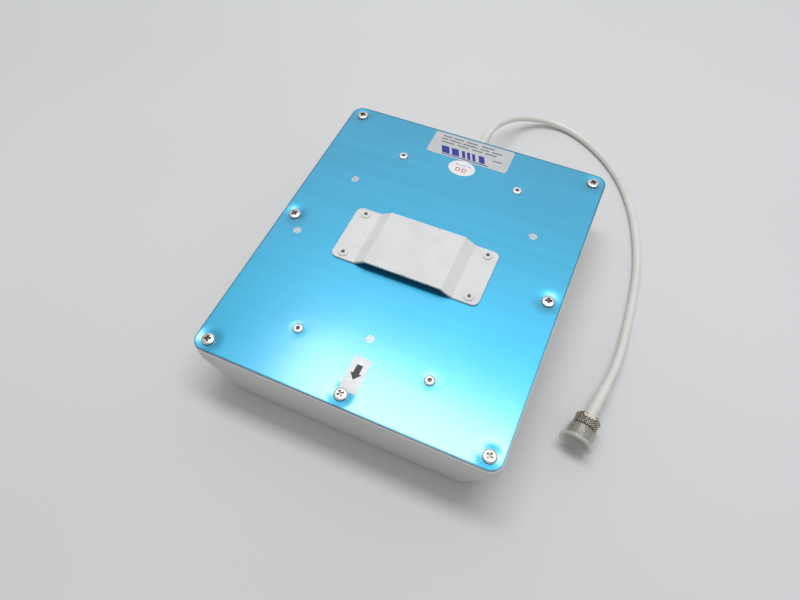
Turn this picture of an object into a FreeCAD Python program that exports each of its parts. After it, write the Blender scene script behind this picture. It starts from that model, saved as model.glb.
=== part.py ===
import FreeCAD, Part
import math
import os
import re
import Sketcher

from FreeCAD import Placement, Rotation, Vector

# Flat panel antenna of a security gate, lying on its radome with the back plate up.
# Millimetres. The origin is the centre of the radome's front face, +Z is the back plate's
# outward normal and +Y points to the side where the cable comes out.

DIMENSIONS = {
    # radome, the plastic front cover
    "radome_width": 180.0,
    "radome_length": 210.0,
    "radome_height": 43.0,
    "side_slope": 12.5,
    "end_draft": 2.0,
    "front_corner": 10.0,
    "rim_corner": 7.5,
    "band_height": 10.5,
    "wall": 2.5,
    "band_wall": 4.6,
    "front_edge_radius": 2.0,
    "boss_radius": 4.0,
    "boss_depth": 14.0,
    "pilot_radius": 1.6,
    "pilot_depth": 12.5,
    "groove_inset": 1.5,
    "groove_width": 1.6,
    "groove_depth": 1.2,
    "port_drop": 17.0,
    "port_radius": 6.0,
    "port_depth": 7.0,
    # back plate and its film
    "plate_thick": 1.0,
    "plate_inset": 0.3,
    "film_thick": 0.1,
    "film_inset": 0.3,
    "screw_inset_x": 8.0,
    "screw_inset_y": 7.5,
    "screw_hole_radius": 2.1,
    "rivet_hole_radius": 1.6,
    # cover screws
    "screw_head_radius": 3.8,
    "screw_head_height": 1.4,
    "screw_length": 12.0,
    "recess_arm": 2.0,
    "recess_width": 1.0,
    "recess_depth": 1.1,
    # blind rivets
    "rivet_head_radius": 3.1,
    "rivet_head_height": 1.1,
    "rivet_tail_radius": 2.5,
    "rivet_tail_height": 1.6,
    "mandrel_radius": 0.95,
    "mandrel_recess": 0.5,
    "mandrel_bulb_radius": 1.4,
    "mandrel_bulb_height": 1.2,
    "board_rivet_inset_x": 6.5,
    "board_rivet_inset_y": 7.0,
    "bracket_rivet_inset_x": 6.5,
    "bracket_rivet_inset_y": 4.3,
    # self-clinching standoffs
    "standoff_flats": 4.8,
    "standoff_head": 0.7,
    "standoff_radius": 2.1,
    "standoff_length": 3.6,
    "thread_radius": 1.5,
    "post_inset_x": 15.0,
    "post_inset_y": 34.0,
    "front_post_inset": 13.0,
    "clip_feed_gap": 34.0,
    # mounting bracket
    "bracket_width": 93.0,
    "bracket_length": 40.0,
    "bracket_thick": 1.2,
    "bracket_corner": 4.0,
    "bracket_rise": 4.7,
    "bridge_width": 47.0,
    "ramp_run": 7.0,
    "bend_radius": 1.0,
    # feed board, patch and what carries them
    "board_side_gap": 14.0,
    "board_end_gap": 21.4,
    "board_thick": 1.6,
    "board_corner": 2.0,
    "board_gap": 3.0,
    "post_clearance": 4.5,
    "board_spacer_radius": 3.5,
    "trace_thick": 0.1,
    "trace_half": 20.0,
    "trace_width": 3.0,
    "probe_reach": 30.0,
    "probe_radius": 1.0,
    "resistor_length": 6.4,
    "resistor_width": 3.2,
    "resistor_thick": 0.7,
    "patch_side_gap": 10.4,
    "patch_end_gap": 25.4,
    "patch_thick": 1.0,
    "patch_gap": 16.0,
    "patch_cut": 15.0,
    "post_hole_radius": 1.6,
    "post_spacer_radius": 3.4,
    "post_screw_head_radius": 2.75,
    "post_screw_head_height": 2.0,
    "post_screw_grip": 3.0,
    # coaxial cable inside the housing
    "cable_radius": 2.5,
    "core_radius": 1.45,
    "wire_radius": 0.45,
    "lane_gap": 0.1,
    "clip_reach": 8.0,
    "stripped_length": 6.0,
    "feed_inset": 34.0,
    "terminal_inset": 3.0,
    "terminal_length": 5.0,
    "terminal_width": 4.0,
    "terminal_under": 1.6,
    "clip_thick": 1.0,
    "clip_width": 8.0,
    "clip_tab_end": 4.5,
    "clip_screw_length": 4.4,
    # strain relief boot
    "boot_neck_wall": 0.9,
    "boot_flange_wall": 3.0,
    "boot_flange": 1.5,
    "boot_root_wall": 1.6,
    "boot_tip_wall": 0.5,
    "boot_length": 27.0,
    # heat-shrink, ferrule and jack on the cable's far end
    "sleeve_length": 22.0,
    "sleeve_wall": 0.4,
    "ferrule_length": 7.0,
    "ferrule_wall": 0.7,
    "nut_flats": 12.6,
    "nut_length": 2.6,
    "knurl_radius": 7.1,
    "knurl_length": 4.4,
    "jack_radius": 7.7,
    "jack_length": 9.6,
    "jack_bore_radius": 4.5,
    "jack_bore_depth": 10.0,
    "insulator_length": 6.0,
    "contact_radius": 1.5,
    "contact_length": 14.5,
    "contact_bore_radius": 0.85,
    "contact_bore_depth": 6.0,
    "cap_clearance": 0.05,
    "cap_wall": 0.4,
    "cap_start": 0.4,
    "cap_flange_radius": 9.5,
    "cap_flange": 2.6,
    "cap_end_gap": 0.6,
    # labels
    "label_thick": 0.1,
    "rating_width": 56.0,
    "rating_length": 20.0,
    "rating_corner": 2.0,
    "rating_inset": 11.7,
    "oval_width": 18.0,
    "oval_length": 13.0,
    "oval_gap": 0.1,
    "arrow_width": 10.1,
    "arrow_length": 21.0,
    "arrow_x": 2.2,
    "arrow_inset": 20.5,
}

# Middle line of the free cable, chosen by hand: from the wall through the boot, down to the
# floor, round the panel's corner and along its side to the jack, whose axis is the line of the
# last two points.
CABLE_ROUTE = [
    (0.0, 105.0, 26.0),
    (0.0, 123.0, 26.0),
    (0.4, 140.0, 25.0),
    (3.6, 153.5, 21.0),
    (8.4, 167.5, 15.0),
    (17.4, 179.5, 9.0),
    (31.0, 187.0, 4.8),
    (48.5, 187.0, 2.8),
    (66.5, 178.5, 2.5),
    (84.5, 165.0, 2.5),
    (100.5, 146.5, 2.5),
    (112.6, 124.5, 2.5),
    (121.2, 101.0, 2.5),
    (127.0, 77.5, 2.5),
    (130.0, 53.5, 2.5),
    (131.4, 30.5, 2.5),
    (131.9, 9.0, 4.8),
    (130.27, -12.7, 9.65),
    (124.8, -42.2, 9.65),
]

HALF_WIDTH = "(radome_width / 2)"
HALF_LENGTH = "(radome_length / 2)"
BAND_Z = "(radome_height - band_height)"
PORT_Z = "(radome_height - port_drop)"
PLATE_TOP = "(radome_height + plate_thick)"
FILM_TOP = "(radome_height + plate_thick + film_thick)"
SCREW_X = f"({HALF_WIDTH} - screw_inset_x)"
SCREW_Y = f"({HALF_LENGTH} - screw_inset_y)"
PATCH_X = f"({HALF_WIDTH} - band_wall - patch_side_gap)"
PATCH_Y = f"({HALF_LENGTH} - band_wall - patch_end_gap)"
POST_X = f"({PATCH_X} - post_inset_x)"
POST_Y = f"({PATCH_Y} - post_inset_y)"
FRONT_POST_Y = f"({PATCH_Y} - front_post_inset)"
LANE_X = f"({POST_X} + post_spacer_radius + cable_radius + lane_gap)"
CLIP_POST_X = f"({LANE_X} + clip_reach)"
BOARD_X = f"({POST_X} - board_side_gap)"
BOARD_Y = f"({HALF_LENGTH} - band_wall - board_end_gap)"
BOARD_RIVET_X = f"({BOARD_X} - board_rivet_inset_x)"
BOARD_RIVET_Y = f"({BOARD_Y} - board_rivet_inset_y)"
BRACKET_RIVET_X = "(bracket_width / 2 - bracket_rivet_inset_x)"
BRACKET_RIVET_Y = "(bracket_length / 2 - bracket_rivet_inset_y)"
TERMINAL_X = f"({BOARD_X} - terminal_inset)"
COAX_END_X = f"({TERMINAL_X} + stripped_length)"
FEED_Y = f"({BOARD_Y} - feed_inset)"
CLIP_POST_Y = f"({FEED_Y} - clip_feed_gap)"
BOARD_BOTTOM = "(radome_height - board_gap - board_thick)"
TRACE_BOTTOM = "(radome_height - board_gap - board_thick - trace_thick)"
PATCH_TOP = "(radome_height - patch_gap)"
PATCH_BOTTOM = "(radome_height - patch_gap - patch_thick)"
STANDOFF_END = "(radome_height - standoff_length)"
CLIP_TAB_Z = f"({STANDOFF_END} - clip_thick)"
COAX_Z = f"({CLIP_TAB_Z} - cable_radius)"
BOOT_NECK = "(cable_radius + boot_neck_wall)"
FERRULE_RADIUS = "(cable_radius + ferrule_wall)"
RATING_Y = f"({HALF_LENGTH} - rating_inset)"
ARROW_Y = f"(arrow_inset - {HALF_LENGTH})"
JACK_TIP = "(nut_length + knurl_length + jack_length)"
CAP_INNER = "(jack_radius + cap_clearance)"
CAP_START = "(nut_length + knurl_length + cap_start)"
CAP_END_INSIDE = "(nut_length + knurl_length + jack_length + cap_end_gap)"

SCREW_PLACES = [
    (f"{side_x} * {SCREW_X}", f"{side_y} * {SCREW_Y}")
    for side_x in (-1, 1)
    for side_y in (-1, 0, 1)
] + [("0", f"-1 * {SCREW_Y}")]
BOARD_RIVET_PLACES = [
    (f"{side_x} * {BOARD_RIVET_X}", f"{side_y} * {BOARD_RIVET_Y}")
    for side_x in (-1, 1)
    for side_y in (-1, 1)
]
BRACKET_RIVET_PLACES = [
    (f"{side_x} * {BRACKET_RIVET_X}", f"{side_y} * {BRACKET_RIVET_Y}")
    for side_x in (-1, 1)
    for side_y in (-1, 1)
]
PATCH_POSTS = [(f"-1 * {POST_X}", POST_Y), (POST_X, POST_Y), ("0", f"-1 * {FRONT_POST_Y}")]
CLIP_POST = (f"-1 * {CLIP_POST_X}", f"-1 * {CLIP_POST_Y}")
PROBES = [
    ("trace_half - trace_width / 2", "probe_reach"),
    ("probe_reach", "-1 * (trace_half - trace_width / 2)"),
]

doc = FreeCAD.newDocument("panel_antenna")
dims = doc.addObject("Spreadsheet::Sheet", "dims")
for row, (alias, number) in enumerate(DIMENSIONS.items(), start=1):
    dims.set(f"A{row}", alias)
    dims.set(f"B{row}", str(number))
    dims.setAlias(f"B{row}", alias)
doc.recompute()

nodes = []


def bound(text):
    """The same formula with every dimension's name pointing at the sheet."""
    return re.sub(
        r"[a-z_]+",
        lambda word: f"dims.{word.group()}" if word.group() in DIMENSIONS else word.group(),
        text,
    )


def value(text):
    """The number that a formula gives now."""
    return float(dims.evalExpression(bound(text)))


def bind(item, **formulas):
    """Bind properties to formulas; a double underscore in a name stands for a dot."""
    for name, formula in formulas.items():
        item.setExpression(name.replace("__", "."), bound(formula))


def keep(item, label):
    """Name a finished sub-part, which is written to a file of that name."""
    item.Label = label
    nodes.append(item)
    return item


# Sketches


def new_body(name):
    return doc.addObject("PartDesign::Body", name)


def sketch_on(body, name, role="XY_Plane", lift="0"):
    """A sketch on one of the body's own planes, lifted along that plane's normal."""
    plane = next(item for item in body.Origin.OriginFeatures if item.Role == role)
    sketch = body.newObject("Sketcher::SketchObject", name)
    sketch.AttachmentSupport = (plane, "")
    sketch.MapMode = "FlatFace"
    bind(sketch, AttachmentOffset__Base__z=lift)
    return sketch


def fix_point(sketch, element, end, x, y):
    """Hold one point of an element at a place given by two formulas."""
    for kind, formula in (("DistanceX", x), ("DistanceY", y)):
        index = sketch.addConstraint(Sketcher.Constraint(kind, -1, 1, element, end, value(formula)))
        sketch.setExpression(f"Constraints[{index}]", bound(formula))


def add_polygon(sketch, corners):
    """A closed polygon through corners given as pairs of formulas."""
    points = [Vector(value(x), value(y), 0) for x, y in corners]
    first = sketch.GeometryCount
    count = len(corners)
    for index in range(count):
        sketch.addGeometry(Part.LineSegment(points[index], points[(index + 1) % count]), False)
    for index in range(count):
        following = first + (index + 1) % count
        sketch.addConstraint(Sketcher.Constraint("Coincident", first + index, 2, following, 1))
        fix_point(sketch, first + index, 1, *corners[index])


def add_rectangle(sketch, low_x, low_y, high_x, high_y):
    add_polygon(sketch, [(low_x, low_y), (high_x, low_y), (high_x, high_y), (low_x, high_y)])


def add_rounded_rectangle(sketch, half_x, half_y, radius, x="0", y="0"):
    """A rectangle about a centre, with a quarter arc at each corner."""
    first = sketch.GeometryCount
    corners = [(-1, -1), (1, -1), (1, 1), (-1, 1)]
    sides = []
    for index, (side_x, side_y) in enumerate(corners):
        next_x, next_y = corners[(index + 1) % 4]
        along_x = (next_x - side_x) // 2
        along_y = (next_y - side_y) // 2
        corner = f"{x} + {side_x} * ({half_x})", f"{y} + {side_y} * ({half_y})"
        after = f"{x} + {next_x} * ({half_x})", f"{y} + {next_y} * ({half_y})"
        start = f"{corner[0]} + {along_x} * ({radius})", f"{corner[1]} + {along_y} * ({radius})"
        end = f"{after[0]} - {along_x} * ({radius})", f"{after[1]} - {along_y} * ({radius})"
        sides.append((start, end))
    for start, end in sides:
        line = Part.LineSegment(
            Vector(value(start[0]), value(start[1]), 0), Vector(value(end[0]), value(end[1]), 0)
        )
        sketch.addGeometry(line, False)
    for index, (side_x, side_y) in enumerate(corners):
        centre = Vector(
            value(f"{x} + {side_x} * ({half_x} - ({radius}))"),
            value(f"{y} + {side_y} * ({half_y} - ({radius}))"),
            0,
        )
        begin = math.pi + index * math.pi / 2
        arc = Part.ArcOfCircle(
            Part.Circle(centre, Vector(0, 0, 1), value(radius)), begin, begin + math.pi / 2
        )
        sketch.addGeometry(arc, False)
    for index, (start, end) in enumerate(sides):
        fix_point(sketch, first + index, 1, *start)
        fix_point(sketch, first + index, 2, *end)
    for index in range(4):
        before = first + (index - 1) % 4
        arc = first + 4 + index
        sketch.addConstraint(Sketcher.Constraint("Coincident", arc, 1, before, 2))
        sketch.addConstraint(Sketcher.Constraint("Coincident", arc, 2, first + index, 1))
        limit = sketch.addConstraint(Sketcher.Constraint("Radius", arc, value(radius)))
        sketch.setExpression(f"Constraints[{limit}]", bound(radius))


def add_circle(sketch, x, y, radius):
    centre = Vector(value(x), value(y), 0)
    index = sketch.addGeometry(Part.Circle(centre, Vector(0, 0, 1), value(radius)), False)
    fix_point(sketch, index, 3, x, y)
    limit = sketch.addConstraint(Sketcher.Constraint("Radius", index, value(radius)))
    sketch.setExpression(f"Constraints[{limit}]", bound(radius))


def add_hexagon(sketch, x, y, flats):
    """A hexagon across whose flats a size is given, with two corners on the X direction."""
    corners = []
    for step in range(6):
        turn = math.radians(60 * step)
        reach = f"({flats}) / {math.sqrt(3):.9f}"
        corners.append((f"{x} + {math.cos(turn):.9f} * {reach}", f"{y} + {math.sin(turn):.9f} * {reach}"))
    add_polygon(sketch, corners)


# Features of a body


def pad(body, sketch, name, length, down=False, midplane=False):
    feature = body.newObject("PartDesign::Pad", name)
    feature.Profile = sketch
    feature.Reversed = down
    feature.Midplane = midplane
    bind(feature, Length=length)
    return feature


def pocket(body, sketch, name, length, up=False):
    """Cut a sketch into the body, and make sure that it takes something away."""
    doc.recompute()
    before = body.Shape.Volume
    feature = body.newObject("PartDesign::Pocket", name)
    feature.Profile = sketch
    feature.Reversed = up
    bind(feature, Length=length)
    doc.recompute()
    if body.Shape.Volume >= before:
        raise ValueError(f"{name} cuts nothing")
    return feature


def loft(body, kind, name, sketches):
    feature = body.newObject(f"PartDesign::{kind}Loft", name)
    feature.Profile = sketches[0]
    feature.Sections = sketches[1:]
    feature.Ruled = True
    return feature


def fillet(body, name, chosen, radius):
    """Round the edges of the body's tip that a test picks."""
    doc.recompute()
    base = body.Tip
    edges = [f"Edge{i}" for i, edge in enumerate(base.Shape.Edges, start=1) if chosen(edge)]
    feature = body.newObject("PartDesign::Fillet", name)
    feature.Base = (base, edges)
    bind(feature, Radius=radius)
    return feature


def turned(name, outline):
    """A body of revolution about Z from an outline of radius and height formulas."""
    body = new_body(name)
    sketch = sketch_on(body, f"{name}_outline", "XZ_Plane")
    add_polygon(sketch, outline)
    feature = body.newObject("PartDesign::Revolution", f"{name}_turn")
    feature.Profile = sketch
    feature.ReferenceAxis = (sketch, ["V_Axis"])
    feature.Angle = 360
    return body


def copies(source, label, places, height):
    """One node with a copy of a piece at each place, all at one height."""
    links = []
    for number, (x, y) in enumerate(places, start=1):
        link = doc.addObject("App::Link", f"{label}_{number}")
        link.setLink(source)
        bind(link, Placement__Base__x=x, Placement__Base__y=y, Placement__Base__z=height)
        links.append(link)
    group = doc.addObject("Part::Compound", f"{label}_group")
    group.Links = links
    return keep(group, label)


def box(name, corner, size):
    item = doc.addObject("Part::Box", name)
    bind(item, Length=size[0], Width=size[1], Height=size[2])
    bind(item, Placement__Base__x=corner[0], Placement__Base__y=corner[1], Placement__Base__z=corner[2])
    return item


def cylinder(name, radius, length, base, turn=(0, 0, 1, 0)):
    """A cylinder from a base point along Z, or along another axis after a turn."""
    item = doc.addObject("Part::Cylinder", name)
    item.Placement = Placement(Vector(0, 0, 0), Rotation(Vector(*turn[:3]), turn[3]))
    bind(item, Radius=radius, Height=length)
    bind(item, Placement__Base__x=base[0], Placement__Base__y=base[1], Placement__Base__z=base[2])
    return item


def fuse(name, pieces):
    item = doc.addObject("Part::MultiFuse", name)
    item.Shapes = pieces
    return item


def cut(name, base, tool):
    item = doc.addObject("Part::Cut", name)
    item.Base = base
    item.Tool = tool
    return item


ALONG_Y = (1, 0, 0, -90)
ALONG_X = (0, 1, 0, 90)


# Housing


def make_radome():
    body = new_body("radome")
    front = sketch_on(body, "front_outline")
    front_x = f"{HALF_WIDTH} - side_slope"
    front_y = f"{HALF_LENGTH} - end_draft"
    add_rounded_rectangle(front, front_x, front_y, "front_corner")
    band = sketch_on(body, "band_outline", lift=BAND_Z)
    add_rounded_rectangle(band, HALF_WIDTH, HALF_LENGTH, "rim_corner")
    loft(body, "Additive", "sloping_walls", [front, band])
    rim = sketch_on(body, "rim_outline", lift=BAND_Z)
    add_rounded_rectangle(rim, HALF_WIDTH, HALF_LENGTH, "rim_corner")
    pad(body, rim, "rim_band", "band_height")
    fillet(body, "front_edge", lambda edge: edge.BoundBox.ZMax < 1e-6, "front_edge_radius")

    inner_front = sketch_on(body, "inner_front_outline", lift="wall")
    add_rounded_rectangle(
        inner_front, f"{front_x} - wall", f"{front_y} - wall", "front_corner - wall"
    )
    inner_band = sketch_on(body, "inner_band_outline", lift=BAND_Z)
    half_x = f"{HALF_WIDTH} - band_wall"
    half_y = f"{HALF_LENGTH} - band_wall"
    add_rounded_rectangle(inner_band, half_x, half_y, "rim_corner - band_wall")
    loft(body, "Subtractive", "hollow", [inner_front, inner_band])
    mouth = sketch_on(body, "mouth_outline", lift="radome_height")
    add_rounded_rectangle(mouth, half_x, half_y, "rim_corner - band_wall")
    pocket(body, mouth, "mouth", "band_height")

    bosses = sketch_on(body, "boss_outlines", lift="radome_height")
    for x, y in SCREW_PLACES:
        add_circle(bosses, x, y, "boss_radius")
    pad(body, bosses, "bosses", "boss_depth", down=True)
    pilots = sketch_on(body, "pilot_outlines", lift="radome_height")
    for x, y in SCREW_PLACES:
        add_circle(pilots, x, y, "pilot_radius")
    pocket(body, pilots, "pilots", "pilot_depth")
    groove = sketch_on(body, "groove_outline", lift="radome_height")
    add_seal_outline(groove)
    pocket(body, groove, "seal_groove", "groove_depth")

    port = sketch_on(body, "port_outline", "XZ_Plane", f"-1 * {HALF_LENGTH}")
    add_circle(port, "0", PORT_Z, "port_radius")
    pad(body, port, "cable_port", "port_depth")
    port_hole = sketch_on(body, "port_hole_outline", "XZ_Plane", f"-1 * {HALF_LENGTH}")
    add_circle(port_hole, "0", PORT_Z, BOOT_NECK)
    pocket(body, port_hole, "port_hole", "port_depth", up=True)
    keep(body, "radome")


def add_seal_outline(sketch):
    """The ring between two rounded rectangles that the rim's seal fills."""
    for inset in ("groove_inset", "(groove_inset + groove_width)"):
        add_rounded_rectangle(
            sketch,
            f"{HALF_WIDTH} - {inset}",
            f"{HALF_LENGTH} - {inset}",
            f"rim_corner - {inset}",
        )


def make_rim_gasket():
    body = new_body("gasket")
    ring = sketch_on(body, "gasket_outline", lift="radome_height - groove_depth")
    add_seal_outline(ring)
    pad(body, ring, "gasket_ring", "groove_depth")
    keep(body, "rim_gasket")


def add_plate_holes(body, name, top, depth):
    """The round holes that the plate and its film share."""
    holes = sketch_on(body, f"{name}_holes", lift=top)
    for x, y in SCREW_PLACES:
        add_circle(holes, x, y, "screw_hole_radius")
    for x, y in BOARD_RIVET_PLACES + BRACKET_RIVET_PLACES:
        add_circle(holes, x, y, "rivet_hole_radius")
    pocket(body, holes, f"{name}_drilling", depth)


def add_hexagons(body, name, top, depth):
    """The hexagonal openings over the standoffs' heads."""
    hexagons = sketch_on(body, f"{name}_hexagons", lift=top)
    for x, y in PATCH_POSTS + [CLIP_POST]:
        add_hexagon(hexagons, x, y, "standoff_flats")
    pocket(body, hexagons, f"{name}_hexagon_cut", depth)


def make_back_plate():
    body = new_body("plate")
    outline = sketch_on(body, "plate_outline", lift="radome_height")
    add_rounded_rectangle(
        outline,
        f"{HALF_WIDTH} - plate_inset",
        f"{HALF_LENGTH} - plate_inset",
        "rim_corner - plate_inset",
    )
    pad(body, outline, "plate_sheet", "plate_thick")
    add_plate_holes(body, "plate", PLATE_TOP, "plate_thick")
    shanks = sketch_on(body, "plate_shanks", lift=PLATE_TOP)
    for x, y in PATCH_POSTS + [CLIP_POST]:
        add_circle(shanks, x, y, "standoff_radius")
    pocket(body, shanks, "plate_shank_holes", "plate_thick")
    add_hexagons(body, "plate", PLATE_TOP, "standoff_head")
    keep(body, "back_plate")


def make_protective_film():
    body = new_body("film")
    outline = sketch_on(body, "film_outline", lift=PLATE_TOP)
    add_rounded_rectangle(
        outline,
        f"{HALF_WIDTH} - plate_inset - film_inset",
        f"{HALF_LENGTH} - plate_inset - film_inset",
        "rim_corner - plate_inset - film_inset",
    )
    pad(body, outline, "film_sheet", "film_thick")
    add_plate_holes(body, "film", FILM_TOP, "film_thick")
    add_hexagons(body, "film", FILM_TOP, "film_thick")
    keep(body, "protective_film")


def make_mounting_bracket():
    """A strip bent into a low bridge, with a flange at each end to rivet down."""
    body = new_body("bracket")
    profile = sketch_on(body, "bracket_profile", "XZ_Plane")
    end = "bracket_width / 2"
    foot = "(bridge_width / 2 + ramp_run)"
    knee = "(bridge_width / 2)"
    slant = "bracket_thick * ramp_run / (2 * bracket_rise + ramp_run)"
    low = FILM_TOP
    right = [
        (end, low),
        (end, f"{low} + bracket_thick"),
        (f"{foot} + bracket_thick - {slant}", f"{low} + bracket_thick"),
        (f"{knee} + bracket_thick - {slant}", f"{low} + bracket_rise + bracket_thick"),
    ]
    underside = [(knee, f"{low} + bracket_rise"), (foot, low)]
    left = [(f"-1 * ({x})", z) for x, z in reversed(right)]
    left_underside = [(f"-1 * ({x})", z) for x, z in reversed(underside)]
    add_polygon(profile, right + left + left_underside + underside)
    pad(body, profile, "bracket_strip", "bracket_length", midplane=True)
    half_length = value("bracket_length / 2")
    half_width = value("bracket_width / 2")

    def at_bend(edge):
        middle = edge.CenterOfMass
        along_y = abs(edge.BoundBox.YLength - 2 * half_length) < 1e-6
        return along_y and abs(abs(middle.x) - half_width) > 1e-3

    def at_corner(edge):
        middle = edge.CenterOfMass
        upright = edge.BoundBox.XLength < 1e-6 and edge.BoundBox.YLength < 1e-6
        return upright and abs(abs(middle.x) - half_width) < 1e-3

    fillet(body, "bracket_bends", at_bend, "bend_radius")
    fillet(body, "bracket_corners", at_corner, "bracket_corner")
    holes = sketch_on(body, "bracket_holes", lift=f"{FILM_TOP} + bracket_thick")
    for x, y in BRACKET_RIVET_PLACES:
        add_circle(holes, x, y, "rivet_hole_radius")
    pocket(body, holes, "bracket_drilling", "bracket_thick")
    keep(body, "mounting_bracket")


# Fasteners


def make_rivets(prefix, places, grip, top):
    """Blind rivets with their mandrels; grip is the thickness that they hold together."""
    rivet = turned(
        f"{prefix}_rivet",
        [
            ("mandrel_radius", "rivet_head_height"),
            ("rivet_head_radius * 0.55", "rivet_head_height"),
            ("rivet_head_radius * 0.88", "rivet_head_height * 0.62"),
            ("rivet_head_radius", "rivet_head_height * 0.2"),
            ("rivet_head_radius", "0"),
            ("rivet_hole_radius", "0"),
            ("rivet_hole_radius", f"-1 * {grip}"),
            ("rivet_tail_radius", f"-1 * {grip}"),
            ("rivet_tail_radius", f"-1 * ({grip} + rivet_tail_height)"),
            ("mandrel_radius", f"-1 * ({grip} + rivet_tail_height)"),
        ],
    )
    copies(rivet, f"{prefix}_rivets", places, top)
    mandrel = turned(
        f"{prefix}_mandrel",
        [
            ("0", "rivet_head_height - mandrel_recess"),
            ("mandrel_radius", "rivet_head_height - mandrel_recess"),
            ("mandrel_radius", f"-1 * ({grip} + rivet_tail_height)"),
            ("mandrel_bulb_radius", f"-1 * ({grip} + rivet_tail_height)"),
            ("mandrel_bulb_radius", f"-1 * ({grip} + rivet_tail_height + mandrel_bulb_height)"),
            ("0", f"-1 * ({grip} + rivet_tail_height + mandrel_bulb_height)"),
        ],
    )
    copies(mandrel, f"{prefix}_rivet_mandrels", places, top)


def make_cover_screws():
    """Self-tapping screws with domed pan heads and a cross recess."""
    screw = turned(
        "cover_screw",
        [
            ("0", "screw_head_height"),
            ("screw_head_radius * 0.62", "screw_head_height"),
            ("screw_head_radius * 0.9", "screw_head_height * 0.72"),
            ("screw_head_radius", "screw_head_height * 0.35"),
            ("screw_head_radius", "0"),
            ("pilot_radius", "0"),
            ("pilot_radius", "-1 * (screw_length - pilot_radius)"),
            ("0", "-1 * screw_length"),
        ],
    )
    recess = sketch_on(screw, "recess_outline", lift="screw_head_height")
    arm = "recess_arm"
    half = "recess_width / 2"
    quarter = [(arm, half), (half, half), (half, arm)]
    mirrored = [(f"-1 * {x}", y) for x, y in reversed(quarter)]
    below = [(f"-1 * {x}", f"-1 * {y}") for x, y in quarter]
    below_right = [(x, f"-1 * {y}") for x, y in reversed(quarter)]
    add_polygon(recess, quarter + mirrored + below + below_right)
    pocket(screw, recess, "cross_recess", "recess_depth")
    copies(screw, "cover_screws", SCREW_PLACES, FILM_TOP)


def make_clinch_standoffs():
    """Hexagonal heads pressed flush into the plate, with a threaded barrel inside."""
    body = new_body("standoff")
    head = sketch_on(body, "standoff_head_outline")
    add_hexagon(head, "0", "0", "standoff_flats")
    pad(body, head, "standoff_head_pad", "standoff_head", down=True)
    barrel = sketch_on(body, "standoff_barrel_outline")
    add_circle(barrel, "0", "0", "standoff_radius")
    pad(body, barrel, "standoff_barrel_pad", "plate_thick + standoff_length", down=True)
    bore = sketch_on(body, "standoff_bore_outline", lift="-1 * (plate_thick + standoff_length)")
    add_circle(bore, "0", "0", "thread_radius")
    pocket(body, bore, "standoff_bore", "plate_thick + standoff_length - standoff_head", up=True)
    copies(body, "clinch_standoffs", PATCH_POSTS + [CLIP_POST], PLATE_TOP)


def ring(name, outer, inner, length):
    """A plain tube standing on its origin."""
    return turned(name, [(inner, "0"), (outer, "0"), (outer, length), (inner, length)])


# Antenna electronics


def make_feed_board():
    body = new_body("board")
    outline = sketch_on(body, "board_outline", lift=BOARD_BOTTOM)
    add_rounded_rectangle(outline, BOARD_X, BOARD_Y, "board_corner")
    for x, y in BOARD_RIVET_PLACES:
        add_circle(outline, x, y, "rivet_hole_radius")
    add_circle(outline, "0", f"-1 * {FRONT_POST_Y}", "post_clearance")
    pad(body, outline, "board_sheet", "board_thick")
    keep(body, "feed_board")
    spacer = ring("board_spacer", "board_spacer_radius", "rivet_hole_radius", "board_gap")
    copies(spacer, "board_spacers", BOARD_RIVET_PLACES, "radome_height - board_gap")


def make_feed_trace():
    """A square coupler ring with arms to the two probes and to the cable's terminal."""
    body = new_body("trace")
    lane = "(trace_half - trace_width / 2)"
    half = "trace_width / 2"
    loop = sketch_on(body, "coupler_outline", lift=TRACE_BOTTOM)
    add_rectangle(loop, "-1 * trace_half", "-1 * trace_half", "trace_half", "trace_half")
    hole = "(trace_half - trace_width)"
    add_rectangle(loop, f"-1 * {hole}", f"-1 * {hole}", hole, hole)
    pad(body, loop, "coupler", "trace_thick")
    arms = [
        (f"{lane} - {half}", lane, f"{lane} + {half}", f"probe_reach + {half}"),
        (lane, f"-1 * {lane} - {half}", f"probe_reach + {half}", f"-1 * {lane} + {half}"),
        (f"-1 * {lane} - {half}", f"-1 * {FEED_Y} - {half}", f"-1 * {lane} + {half}", f"-1 * {lane}"),
        (f"-1 * {TERMINAL_X}", f"-1 * {FEED_Y} - {half}", f"-1 * {lane}", f"-1 * {FEED_Y} + {half}"),
    ]
    for number, corners in enumerate(arms, start=1):
        arm = sketch_on(body, f"arm_{number}_outline", lift=TRACE_BOTTOM)
        add_rectangle(arm, *corners)
        pad(body, arm, f"arm_{number}", "trace_thick")
    keep(body, "feed_trace")


def make_feed_parts():
    resistor_corner = (
        "-1 * trace_half + trace_width / 2 - resistor_length / 2",
        "trace_half - trace_width / 2 - resistor_width / 2",
        f"{TRACE_BOTTOM} - resistor_thick",
    )
    resistor = box("resistor", resistor_corner, ("resistor_length", "resistor_width", "resistor_thick"))
    keep(resistor, "load_resistor")
    probe = doc.addObject("Part::Cylinder", "probe")
    bind(probe, Radius="probe_radius", Height=f"{TRACE_BOTTOM} - {PATCH_BOTTOM}")
    copies(probe, "feed_probes", PROBES, PATCH_BOTTOM)
    block_corner = (
        f"-1 * {TERMINAL_X} - terminal_length / 2",
        f"-1 * {FEED_Y} - terminal_width / 2",
        f"{COAX_Z} - terminal_under",
    )
    block_height = f"{TRACE_BOTTOM} - {COAX_Z} + terminal_under"
    block = box("block", block_corner, ("terminal_length", "terminal_width", block_height))
    bore_base = (f"-1 * {TERMINAL_X} - terminal_length", f"-1 * {FEED_Y}", COAX_Z)
    bore = cylinder("block_bore", "wire_radius", "2 * terminal_length", bore_base, ALONG_X)
    keep(cut("terminal", block, bore), "feed_terminal")


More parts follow.
